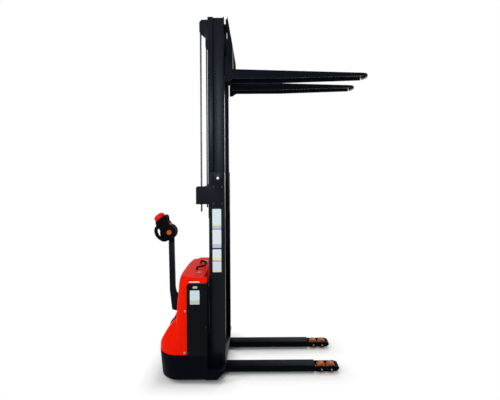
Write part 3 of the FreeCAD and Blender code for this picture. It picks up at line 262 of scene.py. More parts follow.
finishes = {
    # Steel chassis in satin black powder with a cold tint
    "chassisCoat": powderCoat("satinBlackPowderCoat", {
        "dark": "#030508", "light": "#070a10", "roughness": 0.46, "specular": 0.02, "cloudSize": 0.14,
        "stretch": plain, "peel": 0.12}),
    # Rolled mast sections: the same powder over mill skin, so long faint streaks run up the rails
    "mastCoat": powderCoat("blackPaintOnRolledSteel", {
        "dark": "#06080c", "light": "#0c1017", "roughness": 0.33, "specular": 0.13, "cloudSize": 0.05,
        "stretch": upright, "peel": 0.1}),
    # Forks and carriage: thicker dip coat, a little glossier
    "forkCoat": powderCoat("blackEnamelOnForks", {
        "dark": "#07090d", "light": "#0e1118", "roughness": 0.42, "specular": 0.035, "cloudSize": 0.09,
        "stretch": plain, "peel": 0.15}),
    # Rubbed edges of all the painted steel, lighter in tone: wear with a painted highlight along every edge
    "edgeWearAndHighlight": wearAndHighlightEdge("paintEdgeWearAndPaintedHighlight", {
        "wearAndHighlightTone": "#0e1116", "steel": "#4c5056", "roughness": 0.55, "specular": 0.01, "chipSize": 0.02,
        "chipLevel": 0.66}),
    # Glossy ABS hood in signal red
    "hoodPlastic": mouldedPlastic("glossyRedAbs", {
        "dark": "#dc1402", "light": "#e41c02", "roughness": 0.3, "specular": 0.01, "cloudSize": 0.25,
        "grainSize": 0.012, "grain": 0.04}),
    # Flat side covers, fine leather grain drawn at 3 mm for a real 1 mm
    "panelPlastic": mouldedPlastic("grainedBlackCover", {
        "dark": "#07080b", "light": "#0d0e13", "roughness": 0.5, "specular": 0.04, "cloudSize": 0.2,
        "grainSize": 0.003, "grain": 0.25}),
    # Glass filled nylon of the tiller: dull, nearly black
    "tillerPlastic": mouldedPlastic("blackGlassFilledNylon", {
        "dark": "#08080b", "light": "#100f14", "roughness": 0.5, "specular": 0.008, "cloudSize": 0.06,
        "grainSize": 0.003, "grain": 0.2}),
    # Steel tube of the arm in satin black
    "armCoat": powderCoat("satinBlackArmCoat", {
        "dark": "#09080c", "light": "#131217", "roughness": 0.38, "specular": 0.06, "cloudSize": 0.05,
        "stretch": upright, "peel": 0.08}),
    "buttonPlastic": mouldedPlastic("redAcetalButton", {
        "dark": "#c81006", "light": "#d2160c", "roughness": 0.3, "specular": 0.05, "cloudSize": 0.05,
        "grainSize": 0.004, "grain": 0.05}),
    "knobPlastic": mouldedPlastic("orangeNylonKnob", {
        "dark": "#a54a0e", "light": "#ba5a16", "roughness": 0.4, "specular": 0.08, "cloudSize": 0.02,
        "grainSize": 0.003, "grain": 0.15}),
    "batteryCase": mouldedPlastic("greyPolypropyleneCase", {
        "dark": "#2b2d31", "light": "#383b40", "roughness": 0.55, "specular": 0.2, "cloudSize": 0.1,
        "grainSize": 0.004, "grain": 0.15}),
    # Turned and zinc plated steel of rollers, pulleys, axles and screws
    "turnedSteel": workedMetal("zincPlatedSteel", {
        "dark": "#8b8d90", "light": "#b4b6b8", "roughness": 0.34, "stretch": (1.0, 12.0, 1.0),
        "lineSize": 0.02, "oilSize": 0.03, "lineDepth": 0.15}),
    "blackScrewSteel": workedMetal("blackOxideSteel", {
        "dark": "#1d1f22", "light": "#33363a", "roughness": 0.42, "stretch": plain, "lineSize": 0.004,
        "oilSize": 0.01, "lineDepth": 0.1}),
    # Ground hard chrome of the rods, with the oil film that they carry
    "hardChrome": workedMetal("groundHardChrome", {
        "dark": "#b9bcc0", "light": "#d4d6d8", "roughness": 0.12, "stretch": (1.0, 1.0, 8.0),
        "lineSize": 0.02, "oilSize": 0.12, "lineDepth": 0.04}),
    # Oiled plates of the leaf chain
    "chainSteel": workedMetal("oiledChainSteel", {
        "dark": "#2a2d33", "light": "#4c5057", "roughness": 0.4, "stretch": plain, "lineSize": 0.006,
        "oilSize": 0.03, "lineDepth": 0.1}),
    "castIron": workedMetal("paintedCasting", {
        "dark": "#17191d", "light": "#2a2d31", "roughness": 0.6, "stretch": plain, "lineSize": 0.004,
        "oilSize": 0.05, "lineDepth": 0.5}),
    # Cast polyurethane of the load rollers, ochre going brown where it is scuffed
    "rollerPolyurethane": castPolymer("ochrePolyurethane", {
        "clean": "#985422", "scuffed": "#583628", "roughness": 0.42, "specular": 0.14, "depth": 0.1,
        "scuffSize": 0.03}),
    "tyreRubber": castPolymer("blackSolidTyre", {
        "clean": "#0f0f10", "scuffed": "#232324", "roughness": 0.7, "specular": 0.1, "depth": 0.0,
        "scuffSize": 0.02}),
}
print("materials made:", len(finishes))


# Nodes of the frame: finish and edge

nodeFinish = [
    ("base_tub", "chassisCoat", 0.0025), ("leg_", "chassisCoat", 0.0025), ("load_axles", "turnedSteel", 0),
    ("load_roller", "rollerPolyurethane", 0), ("outer_rail", "mastCoat", 0.003),
    ("mast_side_plate", "mastCoat", 0.0015), ("outer_mast_cross", "mastCoat", 0.0015),
    ("outer_mast_rollers", "turnedSteel", 0), ("inner_mast_cross", "mastCoat", 0.0015),
    ("inner_mast_rollers", "turnedSteel", 0), ("inner_rail", "mastCoat", 0.003),
    ("lift_cylinder", "mastCoat", 0), ("lift_rod", "hardChrome", 0), ("chain_pulley", "turnedSteel", 0),
    ("chain_anchor", "blackScrewSteel", 0), ("carriage_frame", "forkCoat", 0.002),
    ("carriage_rollers", "turnedSteel", 0), ("fork_", "forkCoat", 0.003),
    ("side_panel", "panelPlastic", 0.0015), ("battery", "batteryCase", 0), ("grab_bar", "tillerPlastic", 0),
    ("drive_unit", "castIron", 0), ("turret_cap", "tillerPlastic", 0), ("tiller_yoke", "castIron", 0.0015),
    ("tiller_arm", "armCoat", 0.004), ("belly_button", "buttonPlastic", 0), ("drive_wheel", "tyreRubber", 0),
    ("castor_wheel", "tyreRubber", 0), ("castor_fork", "turnedSteel", 0.001),
]
coated = {"chassisCoat", "mastCoat", "forkCoat", "armCoat"}
cleaning = {"sameSpot": 0.00002, "flatDegrees": 0.6}
easing = {"segments": 2, "fromDegrees": 32, "smoothDegrees": 35}


def mergedCopy(node):
    # A copy of a node's loose triangles, merged and with its flat faces whole again
    piece = node.copy()
    piece.data = node.data.copy()
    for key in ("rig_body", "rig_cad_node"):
        del piece[key]
    piece.parent = None
    bpy.context.scene.collection.objects.link(piece)
    onlySelect(piece)
    bpy.ops.object.mode_set(mode="EDIT")
    bpy.ops.mesh.select_all(action="SELECT")
    bpy.ops.mesh.remove_doubles(threshold=cleaning["sameSpot"])
    bpy.ops.mesh.dissolve_limited(angle_limit=math.radians(cleaning["flatDegrees"]))
    bpy.ops.object.mode_set(mode="OBJECT")
    return piece


def easeEdges(nodeName, width, finish, edgeFinish):
    # Breaks the sharp edges of a plate or section, as the real ones are
    node = nodes[nodeName]
    piece = mergedCopy(node)
    piece.data.materials.clear()
    piece.data.materials.append(finish)
    piece.data.materials.append(edgeFinish)
    bevel = piece.modifiers.new("edge", "BEVEL")
    bevel.width = width
    bevel.segments = easing["segments"]
    bevel.limit_method = "ANGLE"
    bevel.angle_limit = math.radians(easing["fromDegrees"])
    # The bevel's faces take the edge finish, whose lighter tone paints a highlight along them
    bevel.material = 1
    applyModifiers(piece)
    bpy.ops.object.shade_smooth_by_angle(angle=math.radians(easing["smoothDegrees"]))
    settle(piece, nodeName + "_finished", node["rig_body"], None)
    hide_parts(nodeName)
    return piece


def finishNode(nodeName):
    for start, finishName, width in nodeFinish:
        if nodeName.startswith(start):
            finish = finishes[finishName]
            if width:
                # Coated steel gets the lighter edge finish: chips of wear and a painted highlight on its
                # bevels
                edge = finishes["edgeWearAndHighlight"] if finishName in coated else finish
                easeEdges(nodeName, width, finish, edge)
            else:
                materials = nodes[nodeName].data.materials
                materials.clear()
                materials.append(finish)
            return
    raise SystemExit("no finish for " + nodeName)


# These nodes get a piece of their own further down
modelledAnew = ("hood", "tiller_head", "thumb_knobs", "rear_chain_left", "rear_chain_right",
                "front_chain_left", "front_chain_right")
for nodeName in sorted(nodes):
    if nodeName not in modelledAnew:
        finishNode(nodeName)
print("nodes finished")


# Mouldings: the hood and the tiller head

mouldings = {
    # The crown and its shoulders are rounded much more than the other edges; the mast's bay is lined in black
    "hood": {"piece": "hood_shell", "body": "chassis", "voxel": 0.006, "rounds": 7, "finish": "hoodPlastic",
             "softBack": -0.575, "softFade": 0.05, "softFoot": 0.66, "softRounds": 90,
             "linerFront": -0.449, "linerHalf": 0.3145, "linerTop": 0.76, "liner": "panelPlastic"},
    "tiller_head": {"piece": "tiller_head_shell", "body": "tiller", "voxel": 0.0028, "rounds": 6,
                    "finish": "tillerPlastic"},
}


def softenCrown(piece, look):
    # Weighs the crown's points, so that only they are relaxed again
    group = piece.vertex_groups.new(name="crown")
    for vertex in piece.data.vertices:
        back = (look["softBack"] - vertex.co.x) / look["softFade"]
        high = (vertex.co.z - look["softFoot"]) / look["softFade"]
        weight = min(1.0, back, high)
        if weight > 0:
            group.add([vertex.index], weight, "REPLACE")
    soften = piece.modifiers.new("crown", "SMOOTH")
    soften.vertex_group = "crown"
    soften.iterations = look["softRounds"]
    soften.factor = 0.5
    applyModifiers(piece)
    piece.vertex_groups.clear()


def lineBay(piece, look):
    # The walls of the bay behind the mast carry a black liner
    piece.data.materials.append(finishes[look["liner"]])
    for face in piece.data.polygons:
        x, y, z = face.center
        if x > look["linerFront"] and abs(y) < look["linerHalf"] and z < look["linerTop"]:
            face.material_index = 1


def makeMoulding(nodeName, look):
    # The moulding is remeshed and relaxed so that its edges run out in soft radii
    piece = mergedCopy(nodes[nodeName])
    remesh = piece.modifiers.new("skin", "REMESH")
    remesh.mode = "VOXEL"
    remesh.voxel_size = look["voxel"]
    relax = piece.modifiers.new("relax", "SMOOTH")
    relax.iterations = look["rounds"]
    relax.factor = 0.5
    applyModifiers(piece)
    if "softRounds" in look:
        softenCrown(piece, look)
    bpy.ops.object.shade_smooth()
    settle(piece, look["piece"], look["body"], finishes[look["finish"]])
    if "liner" in look:
        lineBay(piece, look)
    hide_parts(nodeName)


for nodeName, look in mouldings.items():
    makeMoulding(nodeName, look)
print("mouldings made")


# Shapes that several small parts start from

def roundedPlate(place, size, thinAxis, corner, segments):
    # A flat plate with rounded corners: a block whose edges along its thin axis are bevelled
    bpy.ops.object.select_all(action="DESELECT")
    bpy.ops.mesh.primitive_cube_add(size=1, location=place)
    plate = bpy.context.object
    plate.scale = size
    bpy.ops.object.transform_apply(location=True, rotation=True, scale=True)
    bpy.ops.object.mode_set(mode="EDIT")
    bpy.ops.mesh.select_mode(type="EDGE")
    bpy.ops.mesh.select_all(action="DESELECT")
    bpy.ops.object.mode_set(mode="OBJECT")
    for edge in plate.data.edges:
        a, b = (plate.data.vertices[i].co for i in edge.vertices)
        edge.select = abs(a[thinAxis] - b[thinAxis]) > size[thinAxis] / 2
    bpy.ops.object.mode_set(mode="EDIT")
    bpy.ops.mesh.bevel(offset=corner, segments=segments, affect="EDGES")
    bpy.ops.object.mode_set(mode="OBJECT")
    return plate


def joinPieces(pieces):
    bpy.ops.object.select_all(action="DESELECT")
    for piece in pieces:
        piece.select_set(True)
    bpy.context.view_layer.objects.active = pieces[0]
    if len(pieces) > 1:
        bpy.ops.object.join()
    return pieces[0]


def selectFaces(piece, wanted):
    # Leaves the piece in edit mode with the faces selected that a test on the face names
    bpy.ops.object.mode_set(mode="EDIT")
    bpy.ops.mesh.select_mode(type="FACE")
    bpy.ops.mesh.select_all(action="DESELECT")
    bpy.ops.object.mode_set(mode="OBJECT")
    for face in piece.data.polygons:
        face.select = wanted(face)
    bpy.ops.object.mode_set(mode="EDIT")


headShape = {"rim": 0.35, "face": 0.65, "sink": 0.55}    # shares of the height, the radius and the height


def boltHead(radius, height, sides, socket):
    # A screw or bolt head that looks up, with a softened rim and a socket sunk into its top
    bpy.ops.object.select_all(action="DESELECT")
    bpy.ops.mesh.primitive_cylinder_add(vertices=sides, radius=radius, depth=height,
                                        location=(0, 0, height / 2))
    head = bpy.context.object
    bpy.ops.object.transform_apply(location=True, rotation=True, scale=True)
    selectFaces(head, lambda face: face.normal.z > 0.9)
    bpy.ops.mesh.bevel(offset=height * headShape["rim"], segments=2, affect="EDGES")
    bpy.ops.object.mode_set(mode="OBJECT")
    selectFaces(head, lambda face: face.normal.z > 0.99 and face.center.z > height * 0.99)
    bpy.ops.mesh.inset(thickness=radius * (headShape["face"] - socket))
    bpy.ops.mesh.extrude_region_move(TRANSFORM_OT_translate={"value": (0, 0, -height * headShape["sink"])})
    bpy.ops.object.mode_set(mode="OBJECT")
    onlySelect(head)
    bpy.ops.object.shade_smooth_by_angle(angle=math.radians(30))
    return head


def spread(template, seats):
    # Copies of a small part, each set on its seat and turned to look out of it, joined to one piece
    copies = []
    for place, outward in seats:
        piece = template.copy()
        piece.data = template.data.copy()
        bpy.context.scene.collection.objects.link(piece)
        piece.location = place
        piece.rotation_euler = Vector(outward).to_track_quat("Z", "X").to_euler()
        copies.append(piece)
    bpy.data.objects.remove(template)
    return joinPieces(copies)


# Leaf chains

chain = {"plateHeight": 0.013, "plateThickness": 0.0031, "roundShare": 0.49, "overlapShare": 0.94,
         "outerY": 0.0066, "innerY": 0.0034, "pinRadius": 0.0026, "pinLength": 0.0176, "pinEdge": 0.0004,
         "rearPairs": 47, "frontPairs": 1, "linksOnPulley": 9}


def chainPlate(y, z, length):
    # One stadium-shaped plate, upright, centred on a link
    size = (chain["plateHeight"], chain["plateThickness"], length)
    return roundedPlate((0, y, z), size, 1, chain["plateHeight"] * chain["roundShare"], 3)


def chainPin(z):
    bpy.ops.object.select_all(action="DESELECT")
    bpy.ops.mesh.primitive_cylinder_add(vertices=10, radius=chain["pinRadius"], depth=chain["pinLength"],
                                        location=(0, 0, z), rotation=(math.pi / 2, 0, 0))
    pin = bpy.context.object
    bpy.ops.object.transform_apply(location=True, rotation=True, scale=True)
    bpy.ops.object.mode_set(mode="EDIT")
    bpy.ops.mesh.bevel(offset=chain["pinEdge"], segments=1, affect="EDGES")
    bpy.ops.object.mode_set(mode="OBJECT")
    return pin


def chainLink(pitch, outer):
    # One link from Z 0 to one pitch, with the pin at its foot
    length = pitch + chain["plateHeight"] * chain["overlapShare"]
    places = (-chain["outerY"], 0, chain["outerY"]) if outer else (-chain["innerY"], chain["innerY"])
    return joinPieces([chainPlate(y, pitch / 2, length) for y in places] + [chainPin(0)])


def chainStrand(name, node, body, count):
    # Pairs of links from the bottom of a node's box to its top
    low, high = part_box(node)
    pitch = (high.z - low.z) / (2 * count)
    inner = chainLink(pitch, False)
    for vertex in inner.data.vertices:
        vertex.co.z += pitch
    pair = joinPieces([chainLink(pitch, True), inner])
    if count > 1:
        row = pair.modifiers.new("row", "ARRAY")
        row.use_relative_offset = False
        row.use_constant_offset = True
        row.constant_offset_displace = (0, 0, 2 * pitch)
        row.count = count
        applyModifiers(pair)
    pair.location = ((low.x + high.x) / 2, (low.y + high.y) / 2, low.z)
    settle(pair, name, body, finishes["chainSteel"])
    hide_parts(node)
    return pair


for side in ("left", "right"):
    strand = chainStrand("lift_chain_rear_" + side, "rear_chain_" + side, "chassis", chain["rearPairs"])
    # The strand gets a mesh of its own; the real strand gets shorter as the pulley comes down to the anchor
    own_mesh(strand)
    chainStrand("lift_chain_front_" + side, "front_chain_" + side, "carriage", chain["frontPairs"])


def chainOverPulley(side):
    # The half turn of chain on a pulley, link after link, which rides with the inner mast
    low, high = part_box("rear_chain_" + side)
    frontLow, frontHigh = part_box("front_chain_" + side)
    pulleyLow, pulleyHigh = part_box("chain_pulley_" + side)
    middle = (pulleyLow + pulleyHigh) / 2
    radius = ((frontLow.x + frontHigh.x) - (low.x + high.x)) / 4
    step = math.pi / chain["linksOnPulley"]
    pitch = 2 * radius * math.sin(step / 2)
    links = []
    for i in range(chain["linksOnPulley"]):
        link = chainLink(pitch, i % 2 == 0)
        angle = math.pi - i * step
        link.location = (radius * math.cos(angle), 0, radius * math.sin(angle))
        link.rotation_euler = (0, (i + 0.5) * step, 0)
        links.append(link)
    wrap = joinPieces(links)
    onlySelect(wrap)
    bpy.ops.object.transform_apply(location=True, rotation=True, scale=True)
    wrap.location = middle
    settle(wrap, "lift_chain_wrap_" + side, "inner_mast", finishes["chainSteel"])


for side in ("left", "right"):
    chainOverPulley(side)
print("chains made")


# Labels: plain films in the photograph's colours, on the side where it shows them

labels = {
    "thickness": 0.0006, "corner": 0.004,
    "railX": (-0.376, -0.303),
    "railFilms": {
        "rail_label_top": {"z": (1.243, 1.409),
                           "bands": ((0, "#adbdd6"), (0.157, "#e0d9a3"), (0.235, "#cfe0e4"))},
        "rail_label_high": {"z": (1.084, 1.238),
                            "bands": ((0, "#adbdd6"), (0.2, "#e0d9a3"), (0.24, "#d9dde6"))},
        "rail_label_low": {"z": (0.978, 1.073), "bands": ((0, "#e0d9a3"), (0.28, "#d9dde6"))},
        "rail_label_foot": {"z": (0.883, 0.973), "bands": ((0, "#e0d9a3"), (0.17, "#cdd6e2"))},
    },
    "panelFilms": {
        "panel_label": {"x": (-0.549, -0.472), "z": (0.650, 0.763),
                        "bands": ((0, "#a9bfd0"), (0.24, "#c9cf7c"), (0.33, "#c3d9dd"))},
        "panel_label_small": {"x": (-0.526, -0.489), "z": (0.779, 0.797),
                              "bands": ((0, "#b9bdbd"), (0.5, "#a4a8a8"))},
    },
}


def makeLabel(name, xRange, zRange, faceY, bands):
    thickness = labels["thickness"]
    place = (sum(xRange) / 2, faceY - thickness / 2, sum(zRange) / 2)
    size = (xRange[1] - xRange[0], thickness, zRange[1] - zRange[0])
    film = roundedPlate(place, size, 1, labels["corner"], 3)
    finish = bandedVinyl(name + "Vinyl", {"bottom": zRange[0], "top": zRange[1], "bands": bands})
    settle(film, name, "chassis", finish)


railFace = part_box("outer_rail_right")[0].y
for name, film in labels["railFilms"].items():
    makeLabel(name, labels["railX"], film["z"], railFace, film["bands"])
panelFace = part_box("side_panel_right")[0].y
for name, film in labels["panelFilms"].items():
    makeLabel(name, film["x"], film["z"], panelFace, film["bands"])
print("labels made")


# Screws, bolts and nuts

hardware = {
    "hoodScrews": {"radius": 0.008, "height": 0.004, "sides": 24, "socket": 0.25},
    "hexBolts": {"radius": 0.011, "height": 0.008, "sides": 6, "socket": 0.4},
    "pinNuts": {"radius": 0.014, "height": 0.009, "sides": 6, "socket": 0.25},
    "pinHeads": {"radius": 0.0135, "height": 0.005, "sides": 32, "socket": 0.3},
    "axleEnds": {"radius": 0.0125, "height": 0.003, "sides": 32, "socket": 0.35},
    "greaseNipples": {"radius": 0.0055, "height": 0.004, "sides": 16, "socket": 0.2},
    "axleNuts": {"radius": 0.010, "height": 0.006, "sides": 6, "socket": 0.25},
    "wheelBolts": {"radius": 0.007, "height": 0.005, "sides": 6, "socket": 0.35},
    "barFeet": {"radius": 0.014, "height": 0.004, "sides": 32, "socket": 0.05},
    "keySwitch": {"radius": 0.009, "height": 0.010, "sides": 24, "socket": 0.35},
    "plateScrews": {"radius": 0.004, "height": 0.002, "sides": 16, "socket": 0.25},
}


def fasten(name, kind, seats, body, finish):
    # A set of equal heads on one body
    look = hardware[kind]
    template = boltHead(look["radius"], look["height"], look["sides"], look["socket"])
    settle(spread(template, seats), name, body, finishes[finish])


def bothSides(points, faceY):
    # Seats at the same places on the left and right faces
    return [((x, side * faceY, z), (0, side, 0)) for side in (1, -1) for x, z in points]


coverScrews = {"hood": ((-0.590, 0.597), (-0.596, 0.262)), "panel": ((-0.423, 0.466), (-0.560, 0.262))}


def screwCovers():
    # Two screws on each side of the hood and in each panel
    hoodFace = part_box("hood")[1].y
    fasten("hood_screws", "hoodScrews", bothSides(coverScrews["hood"], hoodFace), "chassis", "turnedSteel")
    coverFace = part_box("side_panel_left")[1].y
    fasten("panel_screws", "hoodScrews", bothSides(coverScrews["panel"], coverFace), "chassis",
           "blackScrewSteel")


mastBolts = {"across": 0.035, "up": (0.03, 0.17), "sunk": 0.003}


def boltMast():
    # A nut on each guide roller's pin and four bolts through each side plate
    plateLow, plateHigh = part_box("mast_side_plate_left")
    guideLow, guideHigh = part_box("outer_mast_rollers")
    guideX = (guideLow.x + guideHigh.x) / 2
    guideZ = (guideLow.z + guideHigh.z) / 2
    fasten("guide_pin_nuts", "pinNuts", bothSides([(guideX, guideZ)], plateHigh.y), "chassis", "turnedSteel")
    across = mastBolts["across"]
    places = [(guideX + dx, plateLow.z + dz) for dx in (-across, across) for dz in mastBolts["up"]]
    fasten("side_plate_bolts", "hexBolts", bothSides(places, plateHigh.y - mastBolts["sunk"]), "chassis",
           "blackScrewSteel")


def capLoadAxles():
    # Round ends with a grease nipple in each, on both faces of both legs
    low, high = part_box("load_axles_left")
    radius = (high.z - low.z) / 2
    axleX = (low.x + radius, high.x - radius)
    axleZ = (low.z + high.z) / 2
    seats = bothSides([(x, axleZ) for x in axleX], high.y)
    seats += [((x, side * low.y, axleZ), (0, -side, 0)) for side in (1, -1) for x in axleX]
    fasten("load_axle_ends", "axleEnds", seats, "chassis", "blackScrewSteel")
    endHeight = hardware["axleEnds"]["height"]
    nippleSeats = [((x, y + endHeight * outward[1], z), outward) for (x, y, z), outward in seats]
    fasten("load_axle_nipples", "greaseNipples", nippleSeats, "chassis", "turnedSteel")


castorCheek = 0.008    # from the tyre's side to the outer face of the fork's cheek


def nutCastors():
    # A nut on each end of both castor axles
    for side in ("left", "right"):
        low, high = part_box("castor_wheel_" + side)
        hub = (low + high) / 2
        cheekY = (high.y - hub.y) + castorCheek
        fork = "castor_fork_" + side
        fasten("castor_axle_nuts_" + side, "axleNuts",
               [((hub.x, hub.y + turn * cheekY, hub.z), (0, turn, 0)) for turn in (1, -1)],
               nodes[fork]["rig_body"], "turnedSteel")


boltCircle = {"radius": 0.046, "count": 5, "recess": 0.006}


def boltDriveWheel():
    # A ring of bolts in the dish on each side of the wheel
    low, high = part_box("drive_wheel")
    hub = (low + high) / 2
    dishY = high.y - boltCircle["recess"]
    seats = []
    for turn in (1, -1):
        for i in range(boltCircle["count"]):
            angle = 2 * math.pi * i / boltCircle["count"]
            place = (hub.x + boltCircle["radius"] * math.cos(angle), turn * dishY,
                     hub.z + boltCircle["radius"] * math.sin(angle))
            seats.append((place, (0, turn, 0)))
    fasten("drive_wheel_bolts", "wheelBolts", seats, nodes["drive_wheel"]["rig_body"], "blackScrewSteel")


def capPivot():
    # The heads of the pin on which the tiller tilts
    pivot = next(joint for joint in frame["joints"] if joint["name"] == "tiller_tilt")["pos_m"]
    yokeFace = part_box("tiller_yoke")[1].y
    fasten("pivot_pin_heads", "pinHeads", bothSides([(pivot[0], pivot[2])], yokeFace),
           nodes["tiller_yoke"]["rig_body"], "turnedSteel")


barTube = 0.008    # radius of the grab bar
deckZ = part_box("hood")[1].z


def footGrabBar():
    # A round foot under each end of the bar
    low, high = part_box("grab_bar")
    places = [((low.x + barTube, side * (high.y - barTube), deckZ), (0, 0, 1)) for side in (1, -1)]
    fasten("grab_bar_feet", "barFeet", places, "chassis", "blackScrewSteel")


keySwitch = {"place": (-0.820, 0.0, 1.290), "outward": (1, 0, 0.12)}


def fitKeySwitch():
    # The key switch on the face of the head that looks at the mast
    fasten("tiller_key_switch", "keySwitch", [(keySwitch["place"], keySwitch["outward"])], "tiller",
           "tillerPlastic")


screwCovers()
boltMast()
capLoadAxles()
nutCastors()
boltDriveWheel()
capPivot()
footGrabBar()
fitKeySwitch()
print("hardware made")


# Small moulded and pressed parts

lidPlates = {"place": (-0.508, 0.186), "size": (0.042, 0.034, 0.002), "corner": 0.008, "screwInset": 0.013}


def makeLidPlates():
    # Zinc plates with two screws each, beside the grab bar on the hood's deck
    plates = []
    screws = []
    x, y = lidPlates["place"]
    thickness = lidPlates["size"][2]
    for side in (1, -1):
        plates.append(roundedPlate((x, side * y, deckZ + thickness / 2), lidPlates["size"], 2,
                                   lidPlates["corner"], 4))
        for dx in (-lidPlates["screwInset"], lidPlates["screwInset"]):
            screws.append(((x + dx, side * y, deckZ + thickness), (0, 0, 1)))
    settle(joinPieces(plates), "hood_lid_plates", "chassis", finishes["turnedSteel"])
    fasten("hood_lid_screws", "plateScrews", screws, "chassis", "blackScrewSteel")


makeLidPlates()

knob = {"sides": 60, "width": 0.020, "ribEvery": 3, "ribHeight": 0.0012, "ribGap": 0.0003, "rim": 0.002}


def makeKnobs():
    # Drive knobs with ribs round their rims for the thumbs, one on each cheek of the head
    low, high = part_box("thumb_knobs")
    middle = (low + high) / 2
    radius = (high.x - low.x) / 2 - knob["ribHeight"]
    made = []
    for side in (1, -1):
        bpy.ops.object.select_all(action="DESELECT")
        bpy.ops.mesh.primitive_cylinder_add(vertices=knob["sides"], radius=radius, depth=knob["width"],
                                            location=(0, 0, 0))
        piece = bpy.context.object
        selectFaces(piece, lambda face: abs(face.normal.z) < 0.5 and face.index % knob["ribEvery"] == 0)
        bpy.ops.mesh.inset(use_individual=True, thickness=knob["ribGap"], depth=knob["ribHeight"])
        bpy.ops.object.mode_set(mode="OBJECT")
        selectFaces(piece, lambda face: abs(face.normal.z) > 0.9)
        bpy.ops.mesh.inset(use_individual=True, thickness=knob["rim"])
        bpy.ops.mesh.inset(use_individual=True, thickness=knob["rim"], depth=-knob["rim"] / 2)
        bpy.ops.object.mode_set(mode="OBJECT")
        piece.rotation_euler = (math.pi / 2, 0, 0)
        piece.location = (middle.x, side * (high.y - knob["width"] / 2), middle.z)
        made.append(piece)
    knobs = joinPieces(made)
    settle(knobs, "drive_knobs_ribbed", nodes["thumb_knobs"]["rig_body"], finishes["knobPlastic"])
    onlySelect(knobs)
    bpy.ops.object.shade_smooth_by_angle(angle=math.radians(30))
    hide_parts("thumb_knobs")


makeKnobs()

liftKeys = {"place": (-0.7935, 0.024, 1.241), "size": (0.030, 0.022, 0.006), "slope": 55.8, "corner": 0.004,
            "edge": 0.0012}


def makeLiftKeys():
    # Two rocker keys for lifting and lowering on the slope between crown and belly
    x, y, z = liftKeys["place"]
    made = []
    for side in (1, -1):
        key = roundedPlate((0, 0, 0), liftKeys["size"], 2, liftKeys["corner"], 4)
        selectFaces(key, lambda face: abs(face.normal.z) > 0.9)
        bpy.ops.mesh.bevel(offset=liftKeys["edge"], segments=3, affect="EDGES")
        bpy.ops.object.mode_set(mode="OBJECT")
        key.rotation_euler = (0, math.radians(liftKeys["slope"]), 0)
        key.location = (x, side * y, z)
        made.append(key)
    keys = joinPieces(made)
    settle(keys, "lift_keys", "tiller", finishes["knobPlastic"])
    onlySelect(keys)
    bpy.ops.object.shade_smooth_by_angle(angle=math.radians(35))


makeLiftKeys()

# Where the painted highlight runs along the hood's shoulder
strip = {"x": (-0.557, -0.475), "z": (0.823, 0.829), "before": 0.01, "away": 0.0006, "thickness": 0.0005}


def makePaintedHighlight():
    # A narrow white film that follows the hood's shoulder above the right panel: it paints the highlight that
    # the shoulder catches
    width = strip["x"][1] - strip["x"][0]
    height = strip["z"][1] - strip["z"][0]
    start = (sum(strip["x"]) / 2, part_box("hood")[0].y - strip["before"], sum(strip["z"]) / 2)
    bpy.ops.object.select_all(action="DESELECT")
    bpy.ops.mesh.primitive_grid_add(x_subdivisions=24, y_subdivisions=6, size=1, location=start,
                                    rotation=(math.pi / 2, 0, 0))
    film = bpy.context.object
    film.scale = (width, height, 1)
    bpy.ops.object.transform_apply(location=True, rotation=True, scale=True)
    wrap = film.modifiers.new("wrap", "SHRINKWRAP")
    wrap.target = bpy.data.objects["hood_shell"]
    wrap.wrap_method = "PROJECT"
    wrap.use_project_y = True
    wrap.use_negative_direction = True
    wrap.use_positive_direction = True
    wrap.offset = strip["away"]
    sheet = film.modifiers.new("sheet", "SOLIDIFY")
    sheet.thickness = strip["thickness"]
    applyModifiers(film)
    # The film's near-white colour is a painted highlight
    finish = bandedVinyl("paintedHighlightFilm", {"bottom": strip["z"][0], "top": strip["z"][1],
                                        "bands": ((0, "#e6e6e6"), (0.5, "#f2f2f2"))})
    settle(film, "hood_painted_highlight", "chassis", finish)


makePaintedHighlight()
print("small parts made")


# Weld beads

weld = {"radius": 0.0032, "step": 0.0036, "squeeze": 0.62, "beamZ": (0.64, 0.76), "heelX": -0.2035,
        "heelDrop": 0.361, "heelEnd": 0.004}


def weldBead(start, end):
    # One flattened ripple repeated along the seam, each overlapping the last
    start = Vector(start)
    along = Vector(end) - start
    count = max(2, round(along.length / weld["step"]))
    bpy.ops.object.select_all(action="DESELECT")
    bpy.ops.mesh.primitive_uv_sphere_add(segments=8, ring_count=6, radius=weld["radius"])
    bead = bpy.context.object
    bead.scale = (weld["squeeze"], 1, 1)
    bpy.ops.object.transform_apply(location=True, rotation=True, scale=True)
    row = bead.modifiers.new("row", "ARRAY")
    row.use_relative_offset = False
    row.use_constant_offset = True
    row.constant_offset_displace = (along.length / count, 0, 0)
    row.count = count
    applyModifiers(bead)
    bpy.ops.object.shade_smooth()
    bead.location = start + along / (2 * count)
    bead.rotation_euler = along.to_track_quat("X", "Z").to_euler()
    return bead


def weldMast():
    # Beads under the side plates, round the rails' feet and up the ends of the lower beam
    low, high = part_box("outer_rail_left")
    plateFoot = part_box("mast_side_plate_left")[0].z
    seams = []
    for side in (1, -1):
        y = side * high.y
        for z in (plateFoot, low.z):
            seams.append(weldBead((low.x, y, z), (high.x, y, z)))
        seams.append(weldBead((low.x, y, weld["beamZ"][0]), (low.x, y, weld["beamZ"][1])))
    settle(joinPieces(seams), "mast_welds", "chassis", finishes["mastCoat"])


def weldHeels():
    # A bead across each fork where its upright meets the blade
    low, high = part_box("fork_left")
    x = weld["heelX"]
    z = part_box("front_chain_left")[0].z - weld["heelDrop"]
    inner = low.y + weld["heelEnd"]
    outer = high.y - weld["heelEnd"]
    seams = [weldBead((x, side * inner, z), (x, side * outer, z)) for side in (1, -1)]
    settle(joinPieces(seams), "fork_heel_welds", "carriage", finishes["forkCoat"])


weldMast()
weldHeels()
print("welds made")


# Stage, light and camera

